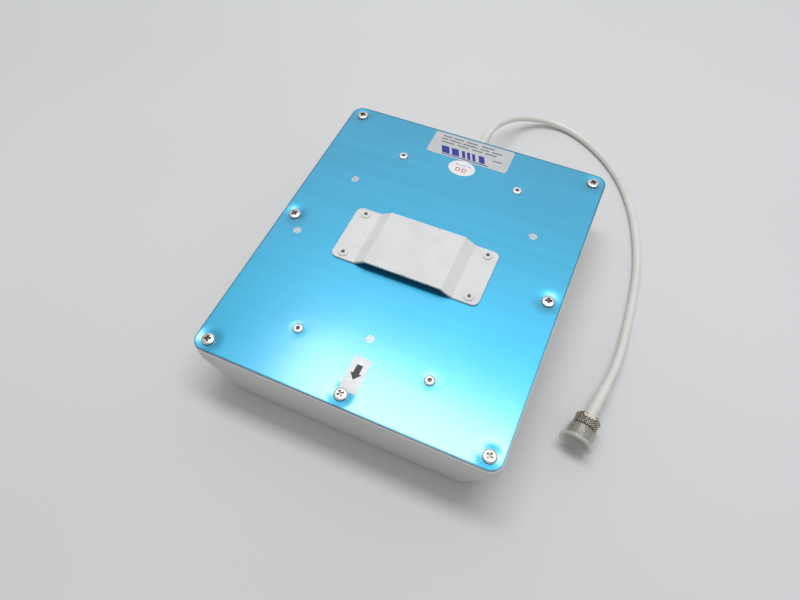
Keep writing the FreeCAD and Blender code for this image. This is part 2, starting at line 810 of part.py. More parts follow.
def make_driven_patch():
    """A sheet with two opposite corners cut off, carried on three posts."""
    body = new_body("patch")
    outline = sketch_on(body, "patch_outline", lift=PATCH_BOTTOM)
    cut_x = f"({PATCH_X} - patch_cut)"
    cut_y = f"({PATCH_Y} - patch_cut)"
    corners = [
        (f"-1 * {PATCH_X}", f"-1 * {PATCH_Y}"),
        (cut_x, f"-1 * {PATCH_Y}"),
        (PATCH_X, f"-1 * {cut_y}"),
        (PATCH_X, PATCH_Y),
        (f"-1 * {cut_x}", PATCH_Y),
        (f"-1 * {PATCH_X}", cut_y),
    ]
    add_polygon(outline, corners)
    for x, y in PATCH_POSTS:
        add_circle(outline, x, y, "post_hole_radius")
    for x, y in PROBES:
        add_circle(outline, x, y, "probe_radius")
    pad(body, outline, "patch_sheet", "patch_thick")
    keep(body, "driven_patch")
    spacer = ring("post_spacer", "post_spacer_radius", "post_hole_radius", f"{STANDOFF_END} - {PATCH_TOP}")
    copies(spacer, "patch_spacers", PATCH_POSTS, PATCH_TOP)
    tip = f"{STANDOFF_END} + post_screw_grip - {PATCH_BOTTOM}"
    copies(post_screw("patch_screw", tip), "patch_screws", PATCH_POSTS, PATCH_BOTTOM)


def post_screw(name, length):
    """A screw whose head hangs below its seat at z = 0."""
    return turned(
        name,
        [
            ("0", "-1 * post_screw_head_height"),
            ("post_screw_head_radius * 0.7", "-1 * post_screw_head_height"),
            ("post_screw_head_radius", "-1 * post_screw_head_height * 0.6"),
            ("post_screw_head_radius", "0"),
            ("thread_radius", "0"),
            ("thread_radius", length),
            ("0", length),
        ],
    )


# Cable


def rounded_route(points):
    """Straight runs joined by tangent arcs, and the list of the arcs' radii."""
    points = [Vector(*point) for point in points]
    edges = []
    radii = []
    here = points[0]
    for before, corner, after in zip(points, points[1:], points[2:]):
        back = (before - corner).normalize()
        onward = (after - corner).normalize()
        half_turn = (math.pi - back.getAngle(onward)) / 2
        reach = 0.45 * min((before - corner).Length, (after - corner).Length)
        radius = reach / math.tan(half_turn)
        middle = (back + onward).normalize()
        start = corner + back * reach
        finish = corner + onward * reach
        top = corner + middle * (radius / math.cos(half_turn) - radius)
        edges.append(Part.LineSegment(here, start).toShape())
        edges.append(Part.Arc(start, top, finish).toShape())
        radii.append(radius)
        here = finish
    edges.append(Part.LineSegment(here, points[-1]).toShape())
    return Part.Wire(edges), radii


def cord_tube(name, points):
    """A round cable along a route, checked against its section times its length."""
    path, radii = rounded_route(points)
    direction = Vector(*points[1]) - Vector(*points[0])
    section = Part.Wire(Part.Circle(Vector(*points[0]), direction, dims.cable_radius).toShape())
    tube = path.makePipeShell([section], True, False)
    expected = math.pi * dims.cable_radius**2 * path.Length
    print(f"{name}: length {path.Length:.1f}, least radius {min(radii):.1f}")
    print(f"{name}: radii", ", ".join(f"{radius:.0f}" for radius in radii))
    if abs(tube.Volume - expected) > 0.01 * expected:
        raise ValueError(f"{name}: volume {tube.Volume:.0f}, section times length {expected:.0f}")
    item = doc.addObject("Part::Feature", f"{name}_tube")
    item.Shape = tube
    item.Placement = Placement()
    return item


def make_inner_coax():
    """The stretch held by the housing, from the outside of its wall to the feed board."""
    lane_x = -value(LANE_X)
    end_x = -value(COAX_END_X)
    coax_z = value(COAX_Z)
    port_z = value(PORT_Z)
    wall_y = value(HALF_LENGTH)
    feed_y = -value(FEED_Y)
    points = [
        (0, wall_y, port_z),
        (0, wall_y - 13.0, port_z),
        (-4.0, wall_y - 20.0, port_z),
        (-11.0, wall_y - 24.0, port_z),
        (-25.0, wall_y - 24.5, port_z + 2.0),
        (lane_x + 21.0, wall_y - 27.0, coax_z - 3.0),
        (lane_x, wall_y - 44.0, coax_z),
        (lane_x, feed_y + 10.2, coax_z),
        (end_x - 13.2, feed_y + 3.7, coax_z),
        (end_x - 6.7, feed_y, coax_z),
        (end_x, feed_y, coax_z),
    ]
    keep(cord_tube("inner_coax", points), "inner_coax")
    start = (f"-1 * {COAX_END_X}", f"-1 * {FEED_Y}", COAX_Z)
    reach = "stripped_length - terminal_length / 2"
    core = cylinder("core", "core_radius", reach, start, ALONG_X)
    wire = cylinder("wire", "wire_radius", f"{reach} + terminal_length", start, ALONG_X)
    keep(fuse("core_and_wire", [core, wire]), "coax_core")


def make_coax_clip():
    """A P-shaped clip that hangs from a standoff and closes round the cable."""
    clip_y = f"-1 * {CLIP_POST_Y} - clip_width / 2"
    centre = (f"-1 * {LANE_X}", clip_y, COAX_Z)
    outside = cylinder("clip_outside", "cable_radius + clip_thick", "clip_width", centre, ALONG_Y)
    tab_corner = (f"-1 * {CLIP_POST_X} - clip_tab_end", clip_y, CLIP_TAB_Z)
    tab_length = "clip_reach + clip_tab_end"
    tab = box("clip_tab", tab_corner, (tab_length, "clip_width", "clip_thick"))
    inside = cylinder("clip_inside", "cable_radius", "clip_width", centre, ALONG_Y)
    hole_base = (*CLIP_POST, COAX_Z)
    hole = cylinder("clip_hole", "post_hole_radius", "cable_radius + 2 * clip_thick", hole_base)
    tools = fuse("clip_tools", [inside, hole])
    keep(cut("clip", fuse("clip_blank", [outside, tab]), tools), "coax_clip")
    screw = post_screw("clip_screw", "clip_screw_length")
    bind(
        screw,
        Placement__Base__x=CLIP_POST[0],
        Placement__Base__y=CLIP_POST[1],
        Placement__Base__z=CLIP_TAB_Z,
    )
    keep(screw, "clip_screw")


def make_strain_relief():
    """A flexible boot snapped into the cable port, tapering along the cable."""
    boot = turned(
        "boot",
        [
            ("cable_radius", "-1 * (port_depth + boot_flange)"),
            ("cable_radius + boot_flange_wall", "-1 * (port_depth + boot_flange)"),
            ("cable_radius + boot_flange_wall", "-1 * port_depth"),
            (BOOT_NECK, "-1 * port_depth"),
            (BOOT_NECK, "0"),
            ("cable_radius + boot_root_wall", "0"),
            ("cable_radius + boot_tip_wall", "boot_length"),
            ("cable_radius", "boot_length"),
        ],
    )
    boot.Placement = Placement(Vector(0, 0, 0), Rotation(Vector(1, 0, 0), -90))
    bind(boot, Placement__Base__y=HALF_LENGTH, Placement__Base__z=PORT_Z)
    keep(boot, "strain_relief_boot")


# Jack on the cable's far end, turned about its own axis from the rear of the nut


def jack_placement():
    rear = Vector(*CABLE_ROUTE[-1])
    axis = (rear - Vector(*CABLE_ROUTE[-2])).normalize()
    side = Vector(0, 0, 1).cross(axis).normalize()
    return Placement(rear, Rotation(side, axis.cross(side), axis, "ZXY"))


def on_jack(body, label):
    body.Placement = jack_placement()
    keep(body, label)


def make_jack():
    sleeve_inner = "cable_radius"
    sleeve = turned(
        "sleeve",
        [
            (sleeve_inner, "-1 * sleeve_length"),
            ("cable_radius + sleeve_wall", "-1 * sleeve_length"),
            ("cable_radius + sleeve_wall", "-1 * ferrule_length - sleeve_wall"),
            (f"{FERRULE_RADIUS} + sleeve_wall", "-1 * ferrule_length"),
            (f"{FERRULE_RADIUS} + sleeve_wall", "0"),
            (FERRULE_RADIUS, "0"),
            (FERRULE_RADIUS, "-1 * ferrule_length"),
            (sleeve_inner, "-1 * ferrule_length"),
        ],
    )
    on_jack(sleeve, "heat_shrink_sleeve")
    ferrule = turned(
        "ferrule",
        [
            ("cable_radius", "-1 * ferrule_length"),
            (FERRULE_RADIUS, "-1 * ferrule_length"),
            (FERRULE_RADIUS, "0"),
            ("cable_radius", "0"),
        ],
    )
    on_jack(ferrule, "crimp_ferrule")

    nut = new_body("nut")
    flats = sketch_on(nut, "nut_outline")
    add_hexagon(flats, "0", "0", "nut_flats")
    add_circle(flats, "0", "0", "contact_radius")
    pad(nut, flats, "nut_block", "nut_length")
    on_jack(nut, "clamp_nut")

    knurl_end = "nut_length + knurl_length"
    bore_start = f"{JACK_TIP} - jack_bore_depth"
    jack = turned(
        "jack",
        [
            ("contact_radius", "nut_length"),
            ("knurl_radius", "nut_length"),
            ("knurl_radius", knurl_end),
            ("jack_radius", knurl_end),
            ("jack_radius", JACK_TIP),
            ("jack_bore_radius", JACK_TIP),
            ("jack_bore_radius", bore_start),
            ("contact_radius", bore_start),
        ],
    )
    on_jack(jack, "connector_body")
    insulator_end = f"{bore_start} + insulator_length"
    insulator = turned(
        "insulator",
        [
            ("contact_radius", bore_start),
            ("jack_bore_radius", bore_start),
            ("jack_bore_radius", insulator_end),
            ("contact_radius", insulator_end),
        ],
    )
    on_jack(insulator, "connector_insulator")
    contact = turned(
        "contact",
        [
            ("0", "0"),
            ("contact_radius", "0"),
            ("contact_radius", "contact_length"),
            ("contact_bore_radius", "contact_length"),
            ("contact_bore_radius", "contact_length - contact_bore_depth"),
            ("0", "contact_length - contact_bore_depth"),
        ],
    )
    on_jack(contact, "centre_contact")


def make_dust_cap():
    """A push-on cap with a broad end flange to pull it by."""
    flange_start = f"{CAP_END_INSIDE} - cap_flange / 2"
    cap_end = f"{CAP_END_INSIDE} + cap_flange / 2"
    cap = turned(
        "cap",
        [
            (CAP_INNER, CAP_START),
            (f"{CAP_INNER} + cap_wall", CAP_START),
            (f"{CAP_INNER} + cap_wall", flange_start),
            ("cap_flange_radius", flange_start),
            ("cap_flange_radius", cap_end),
            ("0", cap_end),
            ("0", CAP_END_INSIDE),
            (CAP_INNER, CAP_END_INSIDE),
        ],
    )
    on_jack(cap, "dust_cap")


# Labels


def make_labels():
    rating = new_body("rating")
    outline = sketch_on(rating, "rating_outline", lift=FILM_TOP)
    add_rounded_rectangle(
        outline, "rating_width / 2", "rating_length / 2", "rating_corner", y=RATING_Y
    )
    pad(rating, outline, "rating_sheet", "label_thick")
    keep(rating, "rating_label")

    oval = doc.addObject("Part::Ellipse", "oval_edge")
    bind(oval, MajorRadius="oval_width / 2", MinorRadius="oval_length / 2")
    oval_y = f"{RATING_Y} - rating_length / 2 - oval_gap - oval_length / 2"
    bind(oval, Placement__Base__y=oval_y, Placement__Base__z=FILM_TOP)
    sheet = doc.addObject("Part::Extrusion", "oval_sheet")
    sheet.Base = oval
    sheet.DirMode = "Custom"
    sheet.Dir = Vector(0, 0, 1)
    sheet.Solid = True
    bind(sheet, LengthFwd="label_thick")
    keep(sheet, "inspection_sticker")

    arrow = new_body("arrow")
    outline = sketch_on(arrow, "arrow_outline", lift=FILM_TOP)
    add_rectangle(
        outline,
        "arrow_x - arrow_width / 2",
        f"{ARROW_Y} - arrow_length / 2",
        "arrow_x + arrow_width / 2",
        f"{ARROW_Y} + arrow_length / 2",
    )
    pad(arrow, outline, "arrow_sheet", "label_thick")
    head = sketch_on(arrow, "arrow_screw_outline", lift=f"{FILM_TOP} + label_thick")
    add_circle(head, "0", f"-1 * {SCREW_Y}", "screw_head_radius")
    pocket(arrow, head, "arrow_screw_cut", "label_thick")
    keep(arrow, "arrow_label")


def check_and_write():
    """Stop on any failed object or bad shape, then write one file for each node."""
    doc.recompute()
    for item in doc.Objects:
        if any(word in item.State for word in ("Invalid", "Error")):
            raise ValueError(f"{item.Name} failed: {item.State}")
    for item in nodes:
        if item.Shape.isNull() or not item.Shape.isValid() or not item.Shape.Solids:
            raise ValueError(f"{item.Label} has no valid solid")
    os.makedirs("parts", exist_ok=True)
    for item in nodes:
        item.Shape.exportStep(f"parts/{item.Label}.step")
        print(f"{item.Label}: {len(item.Shape.Solids)} solid(s), {item.Shape.Volume:.1f} mm3")


make_radome()
make_rim_gasket()
make_back_plate()
make_protective_film()
make_mounting_bracket()
make_rivets("board", BOARD_RIVET_PLACES, "(film_thick + plate_thick + board_gap + board_thick)", FILM_TOP)
make_rivets(
    "bracket",
    BRACKET_RIVET_PLACES,
    "(bracket_thick + film_thick + plate_thick)",
    f"{FILM_TOP} + bracket_thick",
)
make_cover_screws()
make_clinch_standoffs()
make_feed_board()
make_feed_trace()
make_feed_parts()
make_driven_patch()
make_inner_coax()
make_coax_clip()
make_strain_relief()
keep(cord_tube("coax_cable", CABLE_ROUTE), "coax_cable")
make_jack()
make_dust_cap()
make_labels()
check_and_write()
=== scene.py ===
"""Looks of a flat panel antenna that lies on its radome with the back plate up.

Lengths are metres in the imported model's frame; MM turns a size in millimetres into metres.
"""
import math

import bmesh
import bpy
from mathutils import Matrix, Vector


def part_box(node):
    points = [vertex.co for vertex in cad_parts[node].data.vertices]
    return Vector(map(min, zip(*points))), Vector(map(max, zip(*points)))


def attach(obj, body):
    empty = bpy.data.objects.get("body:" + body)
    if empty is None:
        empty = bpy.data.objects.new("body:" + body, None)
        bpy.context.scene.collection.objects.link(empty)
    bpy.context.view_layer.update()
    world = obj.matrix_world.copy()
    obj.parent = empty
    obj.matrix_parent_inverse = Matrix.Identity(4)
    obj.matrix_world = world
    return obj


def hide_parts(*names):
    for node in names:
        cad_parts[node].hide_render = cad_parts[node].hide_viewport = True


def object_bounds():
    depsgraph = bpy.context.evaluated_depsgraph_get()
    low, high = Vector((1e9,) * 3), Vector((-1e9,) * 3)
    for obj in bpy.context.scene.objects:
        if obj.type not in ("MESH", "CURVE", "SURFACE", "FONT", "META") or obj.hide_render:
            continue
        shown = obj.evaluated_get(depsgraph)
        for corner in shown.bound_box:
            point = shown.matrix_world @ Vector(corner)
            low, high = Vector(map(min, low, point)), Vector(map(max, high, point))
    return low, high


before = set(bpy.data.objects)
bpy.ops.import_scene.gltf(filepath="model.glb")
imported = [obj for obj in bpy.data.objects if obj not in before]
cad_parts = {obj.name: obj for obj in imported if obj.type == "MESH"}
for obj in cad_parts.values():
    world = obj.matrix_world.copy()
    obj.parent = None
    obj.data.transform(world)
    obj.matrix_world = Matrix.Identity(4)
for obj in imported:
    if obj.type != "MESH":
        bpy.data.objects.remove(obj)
cad_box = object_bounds()

MM = 0.001
FILM_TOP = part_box("protective_film")[1].z

# The free cable's middle line, from the wall through the boot, over the floor to the jack
CABLE_ROUTE = [
    (0.0, 0.105, 0.026),
    (0.0, 0.123, 0.026),
    (0.0004, 0.140, 0.025),
    (0.0036, 0.1535, 0.021),
    (0.0084, 0.1675, 0.015),
    (0.0174, 0.1795, 0.009),
    (0.031, 0.187, 0.0048),
    (0.0485, 0.187, 0.0028),
    (0.0665, 0.1785, 0.0025),
    (0.0845, 0.165, 0.0025),
    (0.1005, 0.1465, 0.0025),
    (0.1126, 0.1245, 0.0025),
    (0.1212, 0.101, 0.0025),
    (0.127, 0.0775, 0.0025),
    (0.130, 0.0535, 0.0025),
    (0.1314, 0.0305, 0.0025),
    (0.1319, 0.009, 0.0048),
    (0.13027, -0.0127, 0.00965),
    (0.1248, -0.0422, 0.00965),
]
CABLE_DIAMETER = 0.005


# Materials


class Finish:
    """A procedural material: a Principled shader and the few nodes that vary it over the surface."""

    def __init__(self, name, **sockets):
        self.material = bpy.data.materials.new(name)
        self.material.use_nodes = True
        self.tree = self.material.node_tree
        self.shader = self.tree.nodes["Principled BSDF"]
        for socket, value in sockets.items():
            self.shader.inputs[socket.replace("_", " ")].default_value = value
        self.place = self.add("ShaderNodeTexCoord").outputs["Object"]

    def add(self, kind, **settings):
        node = self.tree.nodes.new(kind)
        for name, value in settings.items():
            setattr(node, name, value)
        return node

    def feed(self, socket, source):
        if isinstance(source, bpy.types.NodeSocket):
            self.tree.links.new(source, socket)
        else:
            socket.default_value = source

    def math(self, operation, first, second=0.0, third=0.0):
        node = self.add("ShaderNodeMath", operation=operation)
        for socket, source in zip(node.inputs, (first, second, third)):
            self.feed(socket, source)
        return node.outputs[0]

    def stretched(self, scale, turn=0.0):
        """Object coordinates scaled to one unit for each feature, after a turn about Z."""
        node = self.add("ShaderNodeMapping")
        node.inputs["Scale"].default_value = scale
        node.inputs["Rotation"].default_value = (0, 0, turn)
        self.feed(node.inputs["Vector"], self.place)
        return node.outputs[0]

    def noise(self, size, detail=3.0, roughness=0.5, turn=0.0):
        """Noise whose features have a size in millimetres, one number or one along each axis."""
        sizes = size if isinstance(size, tuple) else (size, size, size)
        node = self.add("ShaderNodeTexNoise")
        node.inputs["Scale"].default_value = 1.0
        node.inputs["Detail"].default_value = detail
        node.inputs["Roughness"].default_value = roughness
        scale = tuple(1 / (step * MM) for step in sizes)
        self.feed(node.inputs["Vector"], self.stretched(scale, turn))
        return node.outputs["Fac"]

    def span(self, source, low, high, out_low=0.0, out_high=1.0):
        """Map a range of a value to another, held at the ends."""
        node = self.add("ShaderNodeMapRange")
        for socket, value in zip(node.inputs, (source, low, high, out_low, out_high)):
            self.feed(socket, value)
        return node.outputs[0]

    def mix(self, factor, first, second):
        node = self.add("ShaderNodeMix", data_type="RGBA")
        self.feed(node.inputs["Factor"], factor)
        first_colour, second_colour = [socket for socket in node.inputs if socket.type == "RGBA"]
        self.feed(first_colour, first)
        self.feed(second_colour, second)
        return [socket for socket in node.outputs if socket.type == "RGBA"][0]

    def colour(self, source):
        self.feed(self.shader.inputs["Base Color"], source)

    def roughness(self, source):
        self.feed(self.shader.inputs["Roughness"], source)

    def bump(self, height, depth, strength=1.0, under=None):
        """Raise the surface by depth millimetres where the height is 1."""
        node = self.add("ShaderNodeBump")
        node.inputs["Strength"].default_value = strength
        node.inputs["Distance"].default_value = depth * MM
        self.feed(node.inputs["Height"], height)
        if under is not None:
            self.feed(node.inputs["Normal"], under)
        self.feed(self.shader.inputs["Normal"], node.outputs[0])
        return node.outputs[0]

    def coordinates(self):
        node = self.add("ShaderNodeSeparateXYZ")
        self.feed(node.inputs[0], self.place)
        return node.outputs[0], node.outputs[1], node.outputs[2]

    def root_of_squares(self, first, second):
        squares = self.math(
            "ADD", self.math("POWER", first, 2.0), self.math("POWER", second, 2.0)
        )
        return self.math("SQRT", squares)


def rgb(red, green, blue):
    return (red, green, blue, 1.0)


def plain_finish(name, colour, dark, size, bump_size, bump_depth, rough=(0.4, 0.55), **sockets):
    """A finish whose colour and roughness drift a little, over a fine bump."""
    finish = Finish(name, **sockets)
    drift = finish.noise(size)
    finish.colour(finish.mix(finish.span(drift, 0.35, 0.7), colour, dark))
    finish.roughness(finish.span(drift, 0.3, 0.7, *rough))
    finish.bump(finish.noise(bump_size, detail=2.0), bump_depth)
    return finish.material


FILM_CORNER = 6.9 * MM
# Painted shade: the film's rim is darkened and loses its gloss between these distances from its outline,
# standing in for the plate's shadowed edge
FILM_SHADED_RIM = (0.30 * MM, 0.65 * MM)


def edge_distance(finish):
    """How far a point of the film lies inside its rounded outline."""
    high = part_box("protective_film")[1]
    x, y, _ = finish.coordinates()
    beyond_x = finish.math("SUBTRACT", finish.math("ABSOLUTE", x), high.x - FILM_CORNER)
    beyond_y = finish.math("SUBTRACT", finish.math("ABSOLUTE", y), high.y - FILM_CORNER)
    rounded = finish.root_of_squares(
        finish.math("MAXIMUM", beyond_x, 0.0), finish.math("MAXIMUM", beyond_y, 0.0)
    )
    straight = finish.math("MINIMUM", finish.math("MAXIMUM", beyond_x, beyond_y), 0.0)
    reach = finish.math("ADD", rounded, straight)
    return finish.math("SUBTRACT", FILM_CORNER, reach)


def film_finish():
    """Clear blue film over rolled aluminium: a tinted metal with fine lines along X, and painted shade
    along its rim.
    """
    finish = Finish("blue_film_on_aluminium", Metallic=0.95, Coat_IOR=1.8, Coat_Roughness=0.20)
    lines = finish.noise((60.0, 0.55, 60.0), detail=4.0, roughness=0.65)
    bands = finish.noise((240.0, 7.0, 60.0), detail=3.0)
    clouds = finish.noise(38.0, detail=3.0)
    tone = finish.math(
        "ADD", finish.math("MULTIPLY", lines, 0.45), finish.math("MULTIPLY", bands, 0.55)
    )
    blue = finish.mix(
        finish.span(tone, 0.30, 0.70), rgb(0.020, 0.345, 0.560), rgb(0.032, 0.390, 0.620)
    )
    specks = finish.span(finish.noise(1.1, detail=1.0), 0.745, 0.775)
    speckled = finish.mix(finish.math("MULTIPLY", specks, 0.5), blue, rgb(0.02, 0.12, 0.30))
    inside = edge_distance(finish)
    # Painted shade: a dark blue band with less coat along the film's rim, for the plate's shadowed edge
    at_edge = finish.span(inside, *FILM_SHADED_RIM, 0.75, 0.0)
    finish.feed(finish.shader.inputs["Coat Weight"], finish.span(inside, *FILM_SHADED_RIM, 0.1, 1.0))
    finish.colour(finish.mix(at_edge, speckled, rgb(0.015, 0.10, 0.17)))
    finish.roughness(finish.span(finish.math("ADD", tone, clouds), 0.7, 1.3, 0.40, 0.47))
    fine = finish.bump(lines, 0.0035)
    finish.bump(bands, 0.010, under=fine)
    return finish.material


def radome_finish():
    """Fine-textured grey plastic with a painted highlight along the rim's edge, and a little darker low
    down.
    """
    finish = Finish("moulded_white_plastic")
    _, _, z = finish.coordinates()
    rim_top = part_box("radome")[1].z
    drift = finish.noise(30.0)
    plastic = finish.mix(
        finish.span(drift, 0.35, 0.7), rgb(0.64, 0.625, 0.60), rgb(0.60, 0.58, 0.55)
    )
    # Darker and warmer towards the bottom of the wall
    darkening = finish.span(z, 0.0, rim_top, 0.8, 0.0)
    darkened_low = finish.mix(darkening, plastic, rgb(0.50, 0.475, 0.445))
    # Painted highlight: a pale band just under the rim's top, for the light that the rim's edge catches
    edge = finish.span(z, rim_top - 1.9 * MM, rim_top - 1.4 * MM)
    finish.colour(finish.mix(edge, darkened_low, rgb(0.84, 0.82, 0.80)))
    finish.roughness(finish.span(drift, 0.3, 0.7, 0.42, 0.52))
    finish.bump(finish.noise(0.7, detail=2.0), 0.03)
    return finish.material


def sheet_metal_finish(name, colour, dark, line=0.4, rough=(0.3, 0.45)):
    """Rolled or machined metal with fine lines and dull patches."""
    finish = Finish(name, Metallic=1.0)
    lines = finish.noise((25.0, line, 25.0), detail=3.0)
    patches = finish.noise(4.0, detail=4.0)
    finish.colour(finish.mix(finish.span(patches, 0.4, 0.75), colour, dark))
    finish.roughness(finish.span(lines, 0.3, 0.7, *rough))
    finish.bump(lines, 0.004)
    return finish.material


def bracket_finish():
    """White powder coat with a fine orange peel, chipped to the metal at a few edge spots."""
    finish = Finish("powder_coat", IOR=1.45)
    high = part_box("mounting_bracket")[1]
    x, y, _ = finish.coordinates()
    from_end = finish.math("SUBTRACT", high.x, finish.math("ABSOLUTE", x))
    from_side = finish.math("SUBTRACT", high.y, finish.math("ABSOLUTE", y))
    from_edge = finish.math("MINIMUM", from_end, from_side)
    at_edge = finish.span(from_edge, 0.15 * MM, 0.6 * MM, 1.0, 0.0)
    spots = finish.span(finish.noise(2.6, detail=4.0, roughness=0.6), 0.60, 0.63)
    chips = finish.math("MULTIPLY", at_edge, spots)
    darkening = finish.noise(14.0, detail=4.0)
    paint = finish.mix(finish.span(darkening, 0.4, 0.75), rgb(0.72, 0.72, 0.71), rgb(0.66, 0.66, 0.64))
    finish.colour(finish.mix(chips, paint, rgb(0.22, 0.21, 0.20)))
    finish.roughness(finish.span(darkening, 0.3, 0.7, 0.48, 0.6))
    finish.bump(finish.noise(0.8, detail=2.0), 0.03)
    return finish.material


def screw_finish():
    """Bright zinc with painted shade in its cross recess and a dark band at the foot of the head that is
    partly painted shadow and partly soiling; local coordinates start at the seat.
    """
    finish = Finish("zinc_plated_screw", Metallic=1.0)
    x, y, z = finish.coordinates()
    out = finish.root_of_squares(x, y)
    inside = finish.span(out, 2.35 * MM, 2.6 * MM, 1.0, 0.0)
    below = finish.span(z, 0.88 * MM, 1.05 * MM, 1.0, 0.0)
    # Painted shade in the cross recess
    recess = finish.math("MULTIPLY", inside, below)
    # Painted shadow and soiling: a dark band low on the head, round its seat
    skirt = finish.span(z, -0.2 * MM, 0.45 * MM, 0.9, 0.0)
    patches = finish.noise(1.3, detail=4.0)
    metal = finish.mix(
        finish.span(patches, 0.45, 0.75), rgb(0.80, 0.79, 0.76), rgb(0.50, 0.48, 0.45)
    )
    shade_and_soiling = finish.math("MAXIMUM", recess, skirt)
    finish.colour(finish.mix(shade_and_soiling, metal, rgb(0.17, 0.145, 0.12)))
    finish.roughness(finish.span(patches, 0.3, 0.7, 0.24, 0.4))
    finish.bump(finish.noise(0.35), 0.01)
    return finish.material


def nickel_finish(name, colour=(0.36, 0.335, 0.28), dark=(0.12, 0.11, 0.09), rough=(0.38, 0.52)):
    """Nickel plate with soiling in patches."""
    finish = Finish(name, Metallic=1.0)
    patches = finish.noise(2.2, detail=5.0, roughness=0.6)
    finish.colour(finish.mix(finish.span(patches, 0.5, 0.8), rgb(*colour), rgb(*dark)))
    finish.roughness(finish.span(patches, 0.3, 0.7, *rough))
    finish.bump(finish.noise(0.3), 0.008)
    return finish.material


def jack_finish():
    """Nickel plate with painted shade in the grooves of the knurl and between the threads; Z runs along
    the jack.
    """
    finish = Finish("knurled_nickel", Metallic=1.0)
    x, y, z = finish.coordinates()
    out = finish.root_of_squares(x, y)
    # Painted shade: the knurl's and thread's grooves are darkened by their depth
    in_knurl = finish.span(out, 6.70 * MM, 7.02 * MM, 1.0, 0.0)
    in_thread = finish.span(out, 7.32 * MM, 7.62 * MM, 0.6, 0.0)
    on_thread = finish.span(z, 7.9 * MM, 8.1 * MM)
    knurl_groove_shade = finish.math("MULTIPLY", in_knurl, finish.math("SUBTRACT", 1.0, on_thread))
    groove_shade = finish.math("ADD", knurl_groove_shade, finish.math("MULTIPLY", in_thread, on_thread))
    patches = finish.span(finish.noise(2.5), 0.4, 0.8)
    metal = finish.mix(patches, rgb(0.74, 0.70, 0.60), rgb(0.46, 0.42, 0.34))
    finish.colour(finish.mix(groove_shade, metal, rgb(0.045, 0.04, 0.03)))
    finish.roughness(finish.span(groove_shade, 0.0, 1.0, 0.20, 0.42))
    finish.bump(finish.noise(0.3), 0.004)
    return finish.material


def cap_finish():
    """Milky soft plastic that lets the thread show through."""
    finish = Finish("translucent_cap", IOR=1.4)
    _, _, z = finish.coordinates()
    finish.feed(finish.shader.inputs["Alpha"], finish.span(z, 15.4 * MM, 16.2 * MM, 0.13, 0.42))
    cloud = finish.noise(5.0, detail=3.0)
    finish.colour(finish.mix(cloud, rgb(0.70, 0.69, 0.66), rgb(0.60, 0.59, 0.56)))
    finish.roughness(finish.span(cloud, 0.3, 0.7, 0.26, 0.38))
    finish.bump(finish.noise(1.2), 0.02)
    return finish.material


def standoff_finish():
    """Dull cast-looking steel, mottled light and dark."""
    finish = Finish("mottled_steel", Metallic=0.85)
    mottle = finish.noise(0.9, detail=4.0, roughness=0.7)
    patches = finish.span(mottle, 0.4, 0.62)
    finish.colour(finish.mix(patches, rgb(0.58, 0.64, 0.67), rgb(0.30, 0.36, 0.40)))
    finish.roughness(finish.span(mottle, 0.3, 0.7, 0.35, 0.6))
    finish.bump(mottle, 0.05)
    return finish.material


def floor_finish():
    """A pale seamless backdrop, a little uneven in tone."""
    finish = Finish("backdrop", Roughness=0.85)
    tone = finish.noise(420.0, detail=2.0)
    grain = finish.noise(3.0, detail=3.0)
    drift = finish.span(tone, 0.3, 0.7)
    finish.colour(finish.mix(drift, rgb(0.68, 0.68, 0.68), rgb(0.64, 0.64, 0.64)))
    finish.roughness(finish.span(grain, 0.3, 0.7, 0.8, 0.9))
    finish.bump(grain, 0.02)
    return finish.material


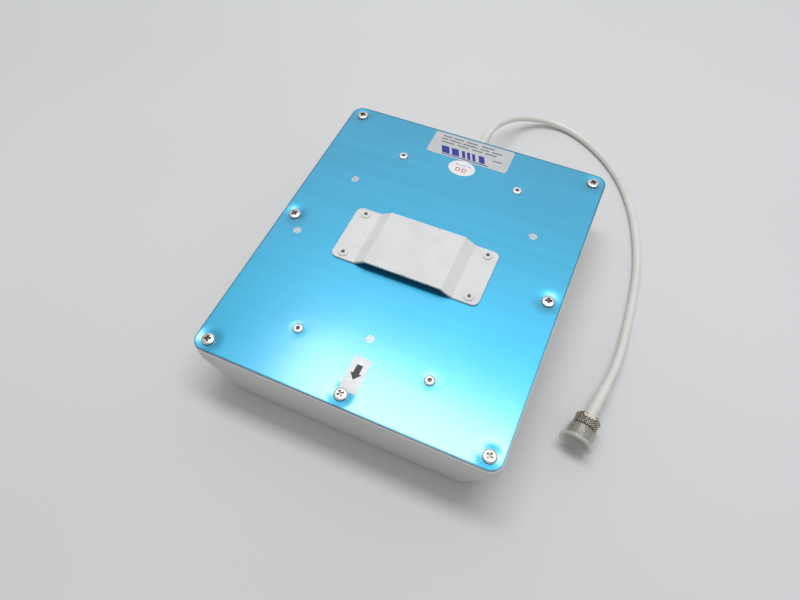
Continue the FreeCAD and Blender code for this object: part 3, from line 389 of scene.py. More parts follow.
MATERIALS = {
    "radome_plastic": radome_finish(),
    "black_rubber": plain_finish(
        "black_rubber", rgb(0.02, 0.02, 0.02), rgb(0.035, 0.035, 0.033), 5.0, 0.5, 0.03
    ),
    "sheet_aluminium": sheet_metal_finish(
        "rolled_aluminium", rgb(0.62, 0.64, 0.66), rgb(0.42, 0.44, 0.46)
    ),
    # Painted shade: the plate's aluminium is given a dark blue-grey so that its edge reads as the
    # shadowed line between film and rim
    "plate_edge": sheet_metal_finish(
        "shaded_plate_edge", rgb(0.26, 0.32, 0.36), rgb(0.14, 0.18, 0.21), 0.4, (0.5, 0.6)
    ),
    "blue_film": film_finish(),
    "white_powder_coat": bracket_finish(),
    "zinc_steel": screw_finish(),
    "mandrel_steel": sheet_metal_finish(
        "mandrel_steel", rgb(0.16, 0.15, 0.14), rgb(0.06, 0.055, 0.05), 0.3, (0.45, 0.6)
    ),
    "rivet_aluminium": nickel_finish("domed_rivet", (0.78, 0.80, 0.82), (0.42, 0.44, 0.46)),
    "white_rivet": plain_finish(
        "painted_rivet", rgb(0.76, 0.76, 0.75), rgb(0.66, 0.66, 0.64), 2.0, 0.6, 0.02
    ),
    "standoff_steel": standoff_finish(),
    "circuit_board": plain_finish(
        "circuit_board", rgb(0.03, 0.20, 0.09), rgb(0.02, 0.14, 0.06), 9.0, 0.5, 0.02, (0.3, 0.4)
    ),
    "nylon": plain_finish("natural_nylon", rgb(0.78, 0.76, 0.68), rgb(0.70, 0.67, 0.58), 4.0, 0.6, 0.02),
    "copper_tin": sheet_metal_finish("tinned_copper", rgb(0.72, 0.62, 0.52), rgb(0.50, 0.36, 0.25)),
    "resistor_ceramic": plain_finish(
        "resistor_ceramic", rgb(0.03, 0.03, 0.035), rgb(0.06, 0.06, 0.06), 1.5, 0.3, 0.01
    ),
    "brass_contact": nickel_finish("brass_contact", (0.80, 0.58, 0.24), (0.45, 0.28, 0.10)),
    "cable_jacket": plain_finish(
        "cable_jacket", rgb(0.735, 0.735, 0.69), rgb(0.67, 0.665, 0.61), 12.0, 1.2, 0.02, (0.25, 0.36),
        Coat_Weight=0.3, Coat_Roughness=0.15,
    ),
    "ptfe": plain_finish("ptfe", rgb(0.86, 0.86, 0.85), rgb(0.78, 0.78, 0.76), 4.0, 0.5, 0.01),
    "boot_rubber": plain_finish(
        "boot_rubber", rgb(0.70, 0.70, 0.67), rgb(0.60, 0.60, 0.56), 5.0, 0.5, 0.02, (0.5, 0.62)
    ),
    "sleeve_plastic": plain_finish(
        "shrunk_sleeve", rgb(0.72, 0.72, 0.68), rgb(0.62, 0.62, 0.57), 6.0, 0.9, 0.05, (0.33, 0.45)
    ),
    "nickel": nickel_finish("nickel_plate"),
    "knurled_nickel": jack_finish(),
    "cap_plastic": cap_finish(),
    "silver_label": plain_finish(
        "silver_label", rgb(0.55, 0.56, 0.57), rgb(0.51, 0.52, 0.53), 3.5, 0.6, 0.004, (0.42, 0.48),
        Metallic=0.3,
    ),
    "white_label": plain_finish(
        "white_label", rgb(0.82, 0.82, 0.82), rgb(0.74, 0.74, 0.74), 4.0, 0.5, 0.01, (0.35, 0.45)
    ),
    "blue_ink": plain_finish(
        "blue_ink", rgb(0.012, 0.02, 0.22), rgb(0.02, 0.035, 0.32), 1.2, 0.4, 0.004, (0.35, 0.45)
    ),
    "grey_ink": plain_finish("grey_ink", rgb(0.07, 0.07, 0.075), rgb(0.30, 0.30, 0.31), 0.6, 0.3, 0.004),
    "red_ink": plain_finish("red_ink", rgb(0.48, 0.05, 0.04), rgb(0.62, 0.14, 0.11), 0.8, 0.3, 0.004),
    "pale_blue_ink": plain_finish(
        "pale_blue_ink", rgb(0.24, 0.30, 0.52), rgb(0.40, 0.44, 0.62), 0.6, 0.3, 0.004
    ),
    "black_ink": plain_finish(
        "black_ink", rgb(0.018, 0.018, 0.02), rgb(0.035, 0.033, 0.032), 0.9, 0.3, 0.004
    ),
}

NODE_SLOTS = {
    "radome": "radome_plastic",
    "rim_gasket": "black_rubber",
    "mounting_bracket": "white_powder_coat",
    "board_rivet_mandrels": "mandrel_steel",
    "bracket_rivet_mandrels": "mandrel_steel",
    "clinch_standoffs": "standoff_steel",
    "feed_board": "circuit_board",
    "board_spacers": "nylon",
    "feed_trace": "copper_tin",
    "load_resistor": "resistor_ceramic",
    "feed_probes": "brass_contact",
    "feed_terminal": "brass_contact",
    "driven_patch": "sheet_aluminium",
    "patch_spacers": "nylon",
    "patch_screws": "nylon",
    "inner_coax": "cable_jacket",
    "coax_core": "ptfe",
    "coax_clip": "nylon",
    "clip_screw": "mandrel_steel",
    "crimp_ferrule": "nickel",
    "connector_insulator": "ptfe",
    "centre_contact": "brass_contact",
}
for node_name, slot_name in NODE_SLOTS.items():
    node_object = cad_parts[node_name]
    node_object.data.materials.clear()
    node_object.data.materials.append(MATERIALS[slot_name])


# Mesh helpers


def smooth(mesh, sharp_angle=35.0):
    mesh.polygons.foreach_set("use_smooth", [True] * len(mesh.polygons))
    mesh.set_sharp_from_angle(angle=math.radians(sharp_angle))


def new_object(name, mesh):
    piece = bpy.data.objects.new(name, mesh)
    bpy.context.scene.collection.objects.link(piece)
    return piece


def finish_piece(piece, slot_name, body="panel", nodes=()):
    """Give a piece its finish, put it on its body and hide the CAD nodes it stands for."""
    piece.data.materials.clear()
    piece.data.materials.append(MATERIALS[slot_name])
    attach(piece, body)
    if nodes:
        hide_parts(*nodes)
    return piece


def built_mesh(name, build):
    mesh = bpy.data.meshes.new(name)
    build.to_mesh(mesh)
    build.free()
    return mesh


def extrude_to(build, height):
    """Extrude every face, with the new side at a height."""
    raised = bmesh.ops.extrude_face_region(build, geom=build.faces[:])
    for item in raised["geom"]:
        if isinstance(item, bmesh.types.BMVert):
            item.co.z = height


def lathe(name, outline, segments=64, relief=None, closed=False):
    """A surface of revolution about Z through (radius, height) points.

    relief(angle, height, radius) is added to the radius of every point off the axis.
    """
    vertices = []
    rings = []
    for radius, height in outline:
        on_axis = radius < 1e-9
        count = 1 if on_axis else segments
        rings.append(range(len(vertices), len(vertices) + count))
        for step in range(count):
            angle = 2 * math.pi * step / segments
            reach = radius + (relief(angle, height, radius) if relief and not on_axis else 0.0)
            vertices.append((reach * math.cos(angle), reach * math.sin(angle), height))
    faces = []
    pairs = list(zip(rings, rings[1:]))
    if closed:
        pairs.append((rings[-1], rings[0]))
    for low, high in pairs:
        for step in range(segments):
            after = (step + 1) % segments
            corners = [low[step % len(low)], low[after % len(low)]]
            corners += [high[after % len(high)], high[step % len(high)]]
            distinct = list(dict.fromkeys(corners))
            if len(distinct) > 2:
                faces.append(distinct)
    mesh = bpy.data.meshes.new(name)
    mesh.from_pydata(vertices, [], faces)
    build = bmesh.new()
    build.from_mesh(mesh)
    bmesh.ops.recalc_face_normals(build, faces=build.faces)
    build.to_mesh(mesh)
    build.free()
    smooth(mesh)
    return mesh


def arc(centre, radius, start, finish, steps=6):
    """Points of an arc in the (radius, height) plane, with angles in degrees."""
    points = []
    for step in range(steps + 1):
        angle = math.radians(start + (finish - start) * step / steps)
        points.append((centre[0] + radius * math.cos(angle), centre[1] + radius * math.sin(angle)))
    return points


def combine(target, tool, operation):
    """The target's mesh after a boolean with the tool, which is thrown away."""
    change = target.modifiers.new("boolean", "BOOLEAN")
    change.operation = operation
    change.solver = "EXACT"
    change.object = tool
    bpy.context.view_layer.update()
    shaped = bpy.data.meshes.new_from_object(
        target.evaluated_get(bpy.context.evaluated_depsgraph_get())
    )
    target.modifiers.clear()
    target.data = shaped
    tool_mesh = tool.data
    bpy.data.objects.remove(tool)
    if tool_mesh.users == 0:
        bpy.data.meshes.remove(tool_mesh)


def solid_centres(node):
    """Where each separate solid of a CAD node stands, as the centre of its box."""
    build = bmesh.new()
    build.from_mesh(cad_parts[node].data)
    bmesh.ops.remove_doubles(build, verts=build.verts, dist=0.01 * MM)
    left = set(build.verts)
    centres = []
    while left:
        group = [left.pop()]
        for vertex in group:
            for edge in vertex.link_edges:
                other = edge.other_vert(vertex)
                if other in left:
                    left.remove(other)
                    group.append(other)
        low = [min(vertex.co[axis] for vertex in group) for axis in range(3)]
        high = [max(vertex.co[axis] for vertex in group) for axis in range(3)]
        centres.append((Vector(low) + Vector(high)) / 2)
    build.free()
    return sorted(centres, key=lambda centre: (round(centre.x, 4), round(centre.y, 4)))


SCREWS = solid_centres("cover_screws")
BOARD_RIVETS = solid_centres("board_rivets")
BRACKET_RIVETS = solid_centres("bracket_rivets")

# How the thin plate gives way: pressed down round the screws and rivets, and waving slightly
SCREW_DIMPLE = 0.7 * MM
SCREW_DIMPLE_START = 3.7 * MM
SCREW_DIMPLE_REACH = 10.0 * MM
RIVET_DIMPLE = 0.10 * MM
RIVET_DIMPLE_START = 3.0 * MM
RIVET_DIMPLE_REACH = 6.5 * MM
PLATE_WAVE = 0.06 * MM


def eased(value):
    held = min(max(value, 0.0), 1.0)
    return held * held * (3 - 2 * held)


def plate_relief(x, y):
    """How far the plate's top lies above its flat place: never above it."""
    wave = math.sin(x * 57 + 0.6 + 0.8 * math.sin(y * 31)) * math.sin(y * 49 - 1.1)
    height = -0.5 * PLATE_WAVE * (1 + wave)
    for places, depth, start, reach in (
        (SCREWS, SCREW_DIMPLE, SCREW_DIMPLE_START, SCREW_DIMPLE_REACH),
        (BOARD_RIVETS, RIVET_DIMPLE, RIVET_DIMPLE_START, RIVET_DIMPLE_REACH),
    ):
        for place in places:
            out = math.hypot(x - place.x, y - place.y)
            if out < reach:
                height -= depth * (1 - max(out - start, 0.0) / (reach - start)) ** 2
    return height


def grid_slab(name, low, high, cell):
    """A flat box between two corners, with its wide faces divided into square cells."""
    columns = max(1, round((high.x - low.x) / cell))
    rows = max(1, round((high.y - low.y) / cell))
    build = bmesh.new()
    bmesh.ops.create_grid(build, x_segments=columns, y_segments=rows, size=0.5)
    for vertex in build.verts:
        vertex.co.x = low.x + (vertex.co.x + 0.5) * (high.x - low.x)
        vertex.co.y = low.y + (vertex.co.y + 0.5) * (high.y - low.y)
        vertex.co.z = low.z
    extrude_to(build, high.z)
    bmesh.ops.recalc_face_normals(build, faces=build.faces)
    return new_object(name, built_mesh(name, build))


def drape(piece, middle, top, bottom, bottom_follows=True):
    """Lay a slab on the plate: its upper side to the height top, its lower side to bottom."""
    for vertex in piece.data.vertices:
        x, y, z = vertex.co
        if z > middle:
            vertex.co.z = top + plate_relief(x, y)
        else:
            vertex.co.z = bottom + (plate_relief(x, y) if bottom_follows else 0.0)


def draped_node(name, node, cell, bottom_follows=True):
    """A finely divided copy of a flat CAD node that follows the plate's dimples and waves."""
    low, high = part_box(node)
    rim = Vector((1.0, 1.0, 0.0)) * MM
    inset = (high.z - low.z) * 0.2
    lift = Vector((0, 0, inset))
    slab = grid_slab(name, low - rim + lift, high + rim - lift, cell)
    outline = new_object(name + "_outline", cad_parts[node].data.copy())
    outline_build = bmesh.new()
    outline_build.from_mesh(outline.data)
    bmesh.ops.remove_doubles(outline_build, verts=outline_build.verts, dist=0.001 * MM)
    outline_build.to_mesh(outline.data)
    outline_build.free()
    combine(slab, outline, "INTERSECT")
    drape(slab, (low.z + high.z) / 2, high.z, low.z, bottom_follows)
    smooth(slab.data, 30.0)
    return slab


# Plate and film


def make_plate_and_film():
    plate = draped_node("plate_sheet", "back_plate", 2.5 * MM, bottom_follows=False)
    # The plate takes the dark metal that paints shade along its edge
    finish_piece(plate, "plate_edge", nodes=["back_plate"])
    film = draped_node("film_sheet", "protective_film", 1.3 * MM)
    finish_piece(film, "blue_film", nodes=["protective_film"])


# Screws and rivets

SCREW_HEAD_RADIUS = 3.8 * MM
SCREW_HEAD_HEIGHT = 1.15 * MM
SCREW_SHANK_RADIUS = 1.6 * MM
SCREW_LENGTH = 12.0 * MM
SCREW_SINK = 0.35 * MM
SCREW_PITCH = 1.3 * MM
SCREW_THREAD_START = 1.2 * MM
SCREW_PLAIN = 3 * MM
# How far each screw's cross is turned, in degrees
SCREW_TURNS = (20, 55, 80, 40, 68, 15, 35)
# Reach, half width and height of a bar of the cross, at its mouth and at its floor
RECESS_MOUTH = (2.35 * MM, 0.88 * MM, 1.6 * MM)
RECESS_FLOOR = (1.35 * MM, 0.55 * MM, 0.2 * MM)
DOME_POWER = 3.4
DOME_STEPS = 14


def dome(radius, height, power=DOME_POWER, steps=DOME_STEPS):
    """A flattened dome's (radius, height) points, from its top on the axis to its rim at height 0."""
    points = [(0.0, height)]
    for step in range(1, steps + 1):
        turn = math.pi / 2 * step / steps
        reach = radius * math.sin(turn) ** (2 / power)
        points.append((reach, height * max(math.cos(turn), 0.0) ** (2 / power)))
    return points


def recess_arm(name, along_x):
    """A wedge that narrows downwards, for one bar of a screw's cross."""
    build = bmesh.new()
    bmesh.ops.create_cube(build, size=1.0)
    for vertex in build.verts:
        reach, half_width, height = RECESS_MOUTH if vertex.co.z > 0 else RECESS_FLOOR
        vertex.co.x = math.copysign(reach if along_x else half_width, vertex.co.x)
        vertex.co.y = math.copysign(half_width if along_x else reach, vertex.co.y)
        vertex.co.z = height
    return new_object(name, built_mesh(name, build))


def make_screws():
    outline = dome(SCREW_HEAD_RADIUS, SCREW_HEAD_HEIGHT)
    outline.append((SCREW_HEAD_RADIUS, -SCREW_DIMPLE))
    outline.append((SCREW_SHANK_RADIUS, -SCREW_DIMPLE))
    for turn in range(int((SCREW_LENGTH - SCREW_PLAIN) / SCREW_PITCH)):
        start = -SCREW_THREAD_START - turn * SCREW_PITCH
        outline.append((SCREW_SHANK_RADIUS * 0.8, start))
        outline.append((SCREW_SHANK_RADIUS, start - SCREW_PITCH / 2))
    outline.append((SCREW_SHANK_RADIUS * 0.7, -SCREW_LENGTH + SCREW_THREAD_START))
    outline.append((0.0, -SCREW_LENGTH))
    pattern = new_object("screw_pattern", lathe("screw_pattern", outline, 56))
    combine(pattern, recess_arm("recess_x", True), "DIFFERENCE")
    combine(pattern, recess_arm("recess_y", False), "DIFFERENCE")
    smooth(pattern.data, 32.0)
    for number, place in enumerate(SCREWS, start=1):
        screw = new_object(f"cover_screw_{number}", pattern.data.copy())
        turn = Matrix.Rotation(math.radians(SCREW_TURNS[number - 1]), 4, "Z")
        screw.matrix_world = Matrix.Translation((place.x, place.y, FILM_TOP - SCREW_SINK)) @ turn
        finish_piece(screw, "zinc_steel", nodes=["cover_screws"] if number == 1 else ())
    bpy.data.objects.remove(pattern)


RIVET_HEAD_RADIUS = 3.1 * MM
RIVET_HEAD_HEIGHT = 1.1 * MM
RIVET_HEAD_SINK = 0.16 * MM
RIVET_BODY_RADIUS = 1.55 * MM
RIVET_TAIL_RADIUS = 2.5 * MM
RIVET_TAIL_HEIGHT = 1.6 * MM
RIVET_MOUTH = 1.15 * MM
RIVET_MOUTH_ROUND = 0.3 * MM
BOARD_RIVET_GRIP = 5.7 * MM
BRACKET_RIVET_GRIP = 2.3 * MM
BRACKET_THICKNESS = 1.2 * MM


def make_rivets(prefix, places, seat, node, slot_name, grip):
    """Domed blind rivets with a rounded mouth round the broken mandrel."""
    rounded = RIVET_MOUTH + RIVET_MOUTH_ROUND
    outline = [(RIVET_MOUTH, RIVET_HEAD_HEIGHT - 0.35 * MM)]
    centre = (rounded, RIVET_HEAD_HEIGHT - RIVET_MOUTH_ROUND)
    outline += arc(centre, RIVET_MOUTH_ROUND, 180, 90, 4)
    steps = 8
    for step in range(1, steps + 1):
        turn = math.pi / 2 * step / steps
        across = rounded + (RIVET_HEAD_RADIUS - rounded) * math.sin(turn) ** 0.9
        outline.append((across, RIVET_HEAD_HEIGHT * max(math.cos(turn), 0.0) ** 0.75))
    outline.append((RIVET_HEAD_RADIUS, -RIVET_HEAD_SINK))
    outline += [(RIVET_BODY_RADIUS, -RIVET_HEAD_SINK), (RIVET_BODY_RADIUS, -grip)]
    tail_end = -grip - RIVET_TAIL_HEIGHT
    outline += [(RIVET_TAIL_RADIUS, -grip), (RIVET_TAIL_RADIUS, tail_end), (RIVET_MOUTH, tail_end)]
    for number, place in enumerate(places, start=1):
        rivet = new_object(f"{prefix}_{number}", lathe(f"{prefix}_{number}", outline, 48, closed=True))
        rivet.matrix_world = Matrix.Translation((place.x, place.y, seat))
        finish_piece(rivet, slot_name, nodes=[node] if number == 1 else ())


# Labels with generic bars and marks in place of print

INK_HEIGHT = 0.02 * MM


def ink(name, shapes, top):
    """Printed shapes, each a convex list of (x, y) corners, as one thin layer on a label."""
    build = bmesh.new()
    for corners in shapes:
        lower = [build.verts.new((x, y, 0.0)) for x, y in corners]
        face = build.faces.new(lower)
        bmesh.ops.recalc_face_normals(build, faces=[face])
    bmesh.ops.subdivide_edges(build, edges=build.edges[:], cuts=2, use_grid_fill=True)
    extrude_to(build, 1.0)
    bmesh.ops.triangulate(build, faces=build.faces[:])
    bmesh.ops.recalc_face_normals(build, faces=build.faces)
    piece = new_object(name, built_mesh(name, build))
    drape(piece, 0.5, top + INK_HEIGHT, top - INK_HEIGHT)
    return piece


def bar(x, y, width, height, slant=0.0):
    """A printed bar by its middle and size, whose far end leans by slant."""
    half_x = width / 2
    half_y = height / 2
    return [
        (x - half_x - slant, y - half_y),
        (x + half_x - slant, y - half_y),
        (x + half_x + slant, y + half_y),
        (x - half_x + slant, y + half_y),
    ]


def make_rating_label():
    label = draped_node("rating_label_sheet", "rating_label", 2.0 * MM)
    finish_piece(label, "silver_label", nodes=["rating_label"])
    low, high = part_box("rating_label")
    middle = (low + high) / 2
    blocks = []
    row_y = middle.y - 4.6 * MM
    block_height = 6.0 * MM
    slant = -1.3 * MM
    # Offset along the label and width of each block, in millimetres
    wide = ((-16.0, 5.5), (-9.0, 5.0), (9.5, 4.0))
    narrow = ((-3.2, 2.2), (0.4, 2.2), (4.0, 2.2))
    for offset, width in wide + narrow:
        blocks.append(bar(middle.x + offset * MM, row_y, width * MM, block_height, slant))
    blocks.append(bar(middle.x - 1.0 * MM, row_y - 4.0 * MM, 33.0 * MM, 0.7 * MM))
    finish_piece(ink("rating_blocks", blocks, high.z), "blue_ink")
    lines = []
    # Rows from the top of the label, each with its bars' offsets and widths in millimetres
    for row, pieces in enumerate((
        ((-19.0, 6.0), (-11.0, 7.0), (-1.5, 8.0), (10.0, 9.0)),
        ((-20.0, 4.5), (-12.5, 8.0), (-2.0, 10.0), (8.5, 6.0), (17.0, 7.0)),
        ((-17.0, 9.0), (-6.0, 8.0), (4.0, 7.0), (13.5, 8.0)),
    )):
        y = middle.y + (7.3 - 2.7 * row) * MM
        for offset, width in pieces:
            lines.append(bar(middle.x + offset * MM, y, width * MM, 1.05 * MM))
    lines.append(bar(middle.x + 19.5 * MM, middle.y - 2.5 * MM, 6.0 * MM, 0.9 * MM))
    finish_piece(ink("rating_lines", lines, high.z), "grey_ink")


def make_inspection_sticker():
    sticker = draped_node("inspection_sheet", "inspection_sticker", 1.5 * MM)
    finish_piece(sticker, "white_label", nodes=["inspection_sticker"])
    low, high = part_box("inspection_sticker")
    middle = (low + high) / 2
    tick_y = middle.y - 1.6 * MM
    reach = 1.2 * MM
    line = 0.6 * MM
    ticks = []
    for side in (-1, 1):
        x = middle.x + side * 2.1 * MM
        ticks.append(bar(x, tick_y + reach, 2.9 * MM, line))
        ticks.append(bar(x, tick_y - reach, 2.9 * MM, line))
        ticks.append(bar(x - reach, tick_y, line, 1.7 * MM))
        ticks.append(bar(x + reach, tick_y, line, 1.7 * MM))
    finish_piece(ink("inspection_mark", ticks, high.z), "red_ink")
    strokes = [
        bar(middle.x + offset * MM, middle.y + 2.6 * MM, width * MM, 0.7 * MM)
        for offset, width in ((-3.6, 3.2), (0.4, 3.4), (4.2, 2.6))
    ]
    finish_piece(ink("inspection_line", strokes, high.z), "pale_blue_ink")


def make_arrow_label():
    label = draped_node("arrow_label_sheet", "arrow_label", 1.2 * MM)
    finish_piece(label, "white_label", nodes=["arrow_label"])
    low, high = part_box("arrow_label")
    x = (low.x + high.x) / 2
    tip = low.y + 7.3 * MM
    neck = tip + 4.0 * MM
    tail = neck + 5.2 * MM
    head = 3.3 * MM
    shaft = 1.75 * MM
    arrow = [
        [(x, tip), (x + head, neck), (x - head, neck)],
        [(x - shaft, neck), (x + shaft, neck), (x + shaft, tail), (x - shaft, tail)],
    ]
    finish_piece(ink("arrow_mark", arrow, high.z), "black_ink")


# Cable and its boot


def make_cable():
    curve = bpy.data.curves.new("free_cable", "CURVE")
    curve.dimensions = "3D"
    curve.bevel_depth = CABLE_DIAMETER / 2
    curve.bevel_resolution = 8
    curve.resolution_u = 12
    curve.use_fill_caps = True
    line = curve.splines.new("NURBS")
    line.points.add(len(CABLE_ROUTE) - 1)
    for point, place in zip(line.points, CABLE_ROUTE):
        point.co = (*place, 1.0)
    line.order_u = 3
    line.use_endpoint_u = True
    return finish_piece(new_object("free_cable", curve), "cable_jacket", nodes=["coax_cable"])


BOOT_FLANGE_RADIUS = 5.4 * MM
BOOT_NECK_RADIUS = 3.35 * MM
BOOT_ROOT_RADIUS = 4.05 * MM
BOOT_TIP_RADIUS = 3.0 * MM
BOOT_RINGS = 6
BOOT_RING_DEPTH = 0.14 * MM


def make_boot():
    """A tapered rubber boot with shallow rings that let it bend."""
    low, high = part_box("strain_relief_boot")
    wall_y = CABLE_ROUTE[0][1]
    inner = CABLE_DIAMETER / 2
    base = low.y - wall_y
    length = high.y - wall_y
    outline = [(inner, base), (BOOT_FLANGE_RADIUS, base), (BOOT_FLANGE_RADIUS, base + 1.4 * MM)]
    outline += [(BOOT_NECK_RADIUS, base + 1.5 * MM), (BOOT_NECK_RADIUS, 0.0), (BOOT_ROOT_RADIUS, 0.0)]
    for ring in range(BOOT_RINGS):
        at = (ring + 1) / (BOOT_RINGS + 1)
        radius = BOOT_ROOT_RADIUS * (1 - at) + BOOT_TIP_RADIUS * at
        height = length * at
        outline += [(radius, height - 0.8 * MM), (radius - BOOT_RING_DEPTH, height - 0.45 * MM)]
        outline += [(radius - BOOT_RING_DEPTH, height + 0.35 * MM), (radius, height + 0.7 * MM)]
    outline += [(BOOT_TIP_RADIUS, length - 0.2 * MM), (inner + 0.3 * MM, length), (inner, length)]
    mesh = lathe("cable_boot", outline, 40, closed=True)
    along_y = Matrix.Rotation(math.radians(-90), 4, "X")
    mesh.transform(Matrix.Translation(Vector(CABLE_ROUTE[0])) @ along_y)
    return finish_piece(new_object("cable_boot", mesh), "boot_rubber", nodes=["strain_relief_boot"])


# Jack and cap, about the line of the route's last two points

NUT_FLATS = 12.6 * MM
KNURL_START = 2.6 * MM
KNURL_END = 7.9 * MM
KNURL_RADIUS = 7.1 * MM
KNURL_TEETH = 26
KNURL_TWIST = 2.9 * MM
KNURL_DEPTH = 0.5 * MM
JACK_TIP = 16.6 * MM
THREAD_RADIUS = 7.7 * MM
THREAD_PITCH = 1.06 * MM
THREAD_DEPTH = 0.38 * MM
BORE_RADIUS = 4.5 * MM
BORE_DEPTH = 10.0 * MM
CONTACT_RADIUS = 1.5 * MM
CAP_INNER = 7.75 * MM
CAP_WALL = 0.4 * MM
CAP_START = 8.3 * MM
CAP_FLANGE_START = 15.9 * MM
CAP_FLANGE = 9.5 * MM
CAP_INSIDE = 17.2 * MM
CAP_END = 18.5 * MM

JACK_REAR = Vector(CABLE_ROUTE[-1])
JACK_AXIS = (JACK_REAR - Vector(CABLE_ROUTE[-2])).normalized()
JACK_SIDE = Vector((0, 0, 1)).cross(JACK_AXIS).normalized()
JACK_UP = JACK_AXIS.cross(JACK_SIDE)
JACK_TURN = Matrix((JACK_SIDE, JACK_UP, JACK_AXIS)).transposed().to_4x4()
JACK_PLACE = Matrix.Translation(JACK_REAR) @ JACK_TURN


def on_jack(name, mesh, slot_name, nodes, body="panel"):
    piece = new_object(name, mesh)
    piece.matrix_world = JACK_PLACE
    return finish_piece(piece, slot_name, body, nodes)


def cable_centreline():
    """The free cable's own spline as a list of points, from the jack back to the wall."""
    bare = cable.data.copy()
    bare.bevel_depth = 0.0
    bare.use_fill_caps = False
    carrier = new_object("centreline", bare)
    bpy.context.view_layer.update()
    line = bpy.data.meshes.new_from_object(
        carrier.evaluated_get(bpy.context.evaluated_depsgraph_get())
    )
    points = [vertex.co.copy() for vertex in line.vertices]
    bpy.data.objects.remove(carrier)
    bpy.data.meshes.remove(line)
    bpy.data.curves.remove(bare)
    return points[::-1]


def along_cable(points, distance):
    """The point at a distance behind the jack, and the direction towards the jack there."""
    travelled = 0.0
    for here, back in zip(points, points[1:]):
        step = (back - here).length
        if travelled + step >= distance:
            return here.lerp(back, (distance - travelled) / step), (here - back).normalized()
        travelled += step
    return points[-1], (points[-2] - points[-1]).normalized()


def make_sleeve():
    """Heat-shrink tube, drawn in over the ferrule's edge and a little uneven."""
    def uneven(angle, height, radius):
        if radius < 2.6 * MM:
            return 0.0
        return 0.05 * MM * math.sin(3 * angle + height * 900) * math.sin(height * 1400 + 1.0)

    outline = [(2.5 * MM, -22.0 * MM), (3.2 * MM, -22.0 * MM), (3.25 * MM, -21.8 * MM)]
    for step in range(1, 20):
        height = (-21.7 + step * (13.7 / 19)) * MM
        outline.append((3.22 * MM, height))
    for step in range(1, 8):
        blend = eased(step / 8)
        outline.append(((3.22 + 0.33 * blend) * MM, (-8.0 + 1.5 * step / 8) * MM))
    for step in range(9):
        outline.append((3.55 * MM, (-6.5 + 6.3 * step / 8) * MM))
    outline += [(3.4 * MM, 0.0), (3.2 * MM, 0.0), (3.2 * MM, -7.0 * MM), (2.5 * MM, -7.0 * MM)]
    mesh = lathe("shrunk_sleeve", outline, 48, relief=uneven, closed=True)
    points = cable_centreline()
    for vertex in mesh.vertices:
        place, towards = along_cable(points, -vertex.co.z)
        side = Vector((0, 0, 1)).cross(towards).normalized()
        vertex.co = place + side * vertex.co.x + towards.cross(side) * vertex.co.y
    piece = new_object("shrunk_sleeve", mesh)
    return finish_piece(piece, "sleeve_plastic", nodes=["heat_shrink_sleeve"])


def make_nut():
    """A hexagonal clamp nut with turned chamfers, flats up and down."""
    corner = NUT_FLATS / math.sqrt(3)

    def hexagon(angle, height, radius):
        """How far the hexagon's side lies inside the corner circle at an angle."""
        if radius < NUT_FLATS / 2:
            return 0.0
        turn = math.fmod(angle + math.radians(360), math.radians(60)) - math.radians(30)
        return min(0.0, NUT_FLATS / 2 / math.cos(turn) - radius)

    outline = [(CONTACT_RADIUS, 0.05 * MM), (4.6 * MM, 0.0), (NUT_FLATS / 2 - 0.5 * MM, 0.0)]
    outline.append((corner * 0.965, 0.3 * MM))
    for step in range(5):
        outline.append((corner * 0.995, 0.5 * MM + (KNURL_START - 0.8 * MM) * step / 4))
    outline += [(corner * 0.965, KNURL_START - 0.1 * MM), (CONTACT_RADIUS, KNURL_START - 0.02 * MM)]
    mesh = lathe("clamp_nut_hexagon", outline, 96, relief=hexagon, closed=True)
    return on_jack("clamp_nut_hexagon", mesh, "nickel", ["clamp_nut"])


def make_jack_body():
    """Knurled grip, a groove and the threaded barrel with its bore, as one turned piece."""
    knurl_low = KNURL_START + 0.4 * MM
    knurl_high = KNURL_END - 0.7 * MM
    thread_low = KNURL_END + 0.5 * MM
    thread_high = JACK_TIP - 0.4 * MM

    def worked(angle, height, radius):
        if knurl_low < height < knurl_high and radius > KNURL_RADIUS - 0.1 * MM:
            turn = 2 * math.pi * (height - KNURL_START) / KNURL_TWIST
            one = abs(math.sin(KNURL_TEETH / 2 * angle + turn))
            other = abs(math.sin(KNURL_TEETH / 2 * angle - turn))
            return -KNURL_DEPTH * (1 - min(one, other) ** 0.8)
        if thread_low < height < thread_high and radius > THREAD_RADIUS - 0.1 * MM:
            # A whole number of turns is added, so that the phase is never negative
            phase = math.fmod(height / THREAD_PITCH - angle / (2 * math.pi) + 64, 1.0)
            return -THREAD_DEPTH * abs(2 * phase - 1)
        return 0.0

    back = KNURL_START + 0.02 * MM
    outline = [(CONTACT_RADIUS, back), (KNURL_RADIUS - 0.5 * MM, back)]
    outline.append((KNURL_RADIUS - 0.1 * MM, back + 0.3 * MM))
    rows = 24
    for row in range(rows + 1):
        outline.append((KNURL_RADIUS, knurl_low + (knurl_high - knurl_low) * row / rows))
    groove = KNURL_RADIUS - 0.6 * MM
    outline += [(KNURL_RADIUS - 0.3 * MM, KNURL_END - 0.5 * MM), (groove, KNURL_END - 0.4 * MM)]
    outline += [(groove, KNURL_END), (THREAD_RADIUS - 0.5 * MM, KNURL_END + 0.3 * MM)]
    rows = 84
    for row in range(rows + 1):
        outline.append((THREAD_RADIUS, thread_low + (thread_high - thread_low) * row / rows))
    bore_end = JACK_TIP - BORE_DEPTH
    outline += [(THREAD_RADIUS - 0.5 * MM, JACK_TIP), (BORE_RADIUS + 0.4 * MM, JACK_TIP)]
    outline += [(BORE_RADIUS, JACK_TIP - 0.4 * MM), (BORE_RADIUS, bore_end), (CONTACT_RADIUS, bore_end)]
    mesh = lathe("jack_barrel", outline, 240, relief=worked, closed=True)
    return on_jack("jack_barrel", mesh, "knurled_nickel", ["connector_body"])


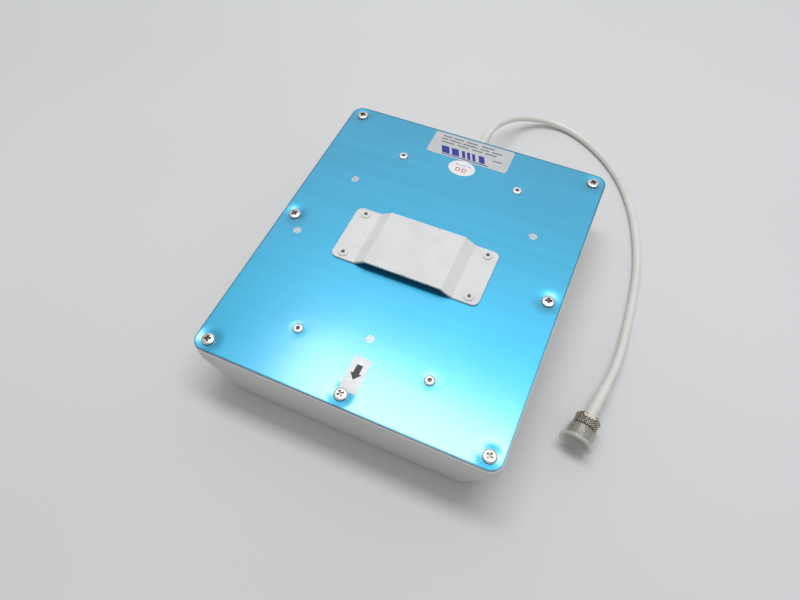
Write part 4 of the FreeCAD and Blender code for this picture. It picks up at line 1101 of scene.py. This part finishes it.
def make_cap():
    """A push-on cap: thin sleeve, rounded end flange and closed end."""
    outer = CAP_INNER + CAP_WALL
    outline = [(CAP_INNER, CAP_START + 0.15 * MM)]
    outline += arc((outer - 0.2 * MM, CAP_START + 0.2 * MM), 0.2 * MM, 200, 360, 6)
    outline += arc((outer + 0.4 * MM, CAP_FLANGE_START - 0.4 * MM), 0.4 * MM, 180, 90, 5)
    outline += arc((CAP_FLANGE - 0.4 * MM, CAP_FLANGE_START + 0.4 * MM), 0.4 * MM, -90, 0, 5)
    outline += arc((CAP_FLANGE - 0.8 * MM, CAP_END - 0.8 * MM), 0.8 * MM, 0, 90, 8)
    outline += [(CAP_FLANGE - 1.8 * MM, CAP_END), (CAP_FLANGE - 2.2 * MM, CAP_END - 0.25 * MM)]
    outline.append((0.0, CAP_END - 0.3 * MM))
    corner = 0.4 * MM
    inside = [(0.0, CAP_INSIDE), (CAP_INNER - corner, CAP_INSIDE), (CAP_INNER, CAP_INSIDE - corner)]
    mesh = lathe("push_on_cap", outline + inside, 96)
    build = bmesh.new()
    build.from_mesh(mesh)
    open_edges = [edge for edge in build.edges if edge.is_boundary]
    bmesh.ops.bridge_loops(build, edges=open_edges)
    bmesh.ops.recalc_face_normals(build, faces=build.faces)
    build.to_mesh(mesh)
    build.free()
    smooth(mesh)
    return on_jack("push_on_cap", mesh, "cap_plastic", ["dust_cap"], body="cap")


# Stage

LENS = 28.0
CAMERA_PLACE = (87.9 * MM, -202.7 * MM, 342.5 * MM)
CAMERA_FORWARD = Vector((-0.2352, 0.4817, -0.8442))
CAMERA_UP = Vector((-0.3353, 0.7750, 0.5357))
FLOOR_HALF_SIZE = 3.0
FLOOR_CELLS = 40
# Just under the part, so that no face of the radome lies in the floor's own plane
FLOOR_GAP = 0.05 * MM
SURROUND_COLOUR = (0.93, 0.96, 1.0, 1.0)
SURROUND_STRENGTH = 0.50
OVERHEAD_POWER = 9.5
FAR_SIDE_POWER = 3.5


def make_camera():
    camera = bpy.data.objects.new("camera", bpy.data.cameras.new("camera"))
    bpy.context.scene.collection.objects.link(camera)
    camera.data.lens = LENS
    camera.data.clip_start = 0.01
    forward = CAMERA_FORWARD.normalized()
    right = forward.cross(CAMERA_UP).normalized()
    up = right.cross(forward)
    turn = Matrix((right, up, -forward)).transposed().to_4x4()
    camera.matrix_world = Matrix.Translation(CAMERA_PLACE) @ turn
    bpy.context.scene.camera = camera


def area_light(name, place, target, size, power):
    lamp = bpy.data.lights.new(name, "AREA")
    lamp.shape = "RECTANGLE"
    lamp.size, lamp.size_y = size
    lamp.energy = power
    light = bpy.data.objects.new(name, lamp)
    bpy.context.scene.collection.objects.link(light)
    light.location = place
    aim = Vector(target) - Vector(place)
    light.rotation_euler = aim.to_track_quat("-Z", "Y").to_euler()


def make_stage():
    build = bmesh.new()
    bmesh.ops.create_grid(
        build, x_segments=FLOOR_CELLS, y_segments=FLOOR_CELLS, size=FLOOR_HALF_SIZE
    )
    mesh = built_mesh("floor", build)
    mesh.materials.append(floor_finish())
    floor = new_object("floor", mesh)
    floor.location.z = cad_box[0].z - FLOOR_GAP
    world = bpy.data.worlds.new("studio")
    world.use_nodes = True
    surround = world.node_tree.nodes["Background"]
    surround.inputs["Color"].default_value = SURROUND_COLOUR
    surround.inputs["Strength"].default_value = SURROUND_STRENGTH
    bpy.context.scene.world = world
    area_light("overhead", (0.04, 0.28, 1.30), (0.02, 0.0, 0.0), (1.15, 0.30), OVERHEAD_POWER)
    area_light("far_side", (-0.20, 1.60, 1.30), (0.0, 0.0, 0.0), (2.6, 1.6), FAR_SIDE_POWER)
    bpy.context.scene.view_settings.view_transform = "Standard"


make_camera()
cable = make_cable()
boot = make_boot()
sleeve = make_sleeve()
nut = make_nut()
jack_body = make_jack_body()
cap = make_cap()
make_plate_and_film()
make_screws()
make_rivets(
    "board_rivet",
    BOARD_RIVETS,
    seat=FILM_TOP,
    node="board_rivets",
    slot_name="rivet_aluminium",
    grip=BOARD_RIVET_GRIP,
)
make_rivets(
    "bracket_rivet",
    BRACKET_RIVETS,
    seat=FILM_TOP + BRACKET_THICKNESS,
    node="bracket_rivets",
    slot_name="white_rivet",
    grip=BRACKET_RIVET_GRIP,
)
make_rating_label()
make_inspection_sticker()
make_arrow_label()
make_stage()
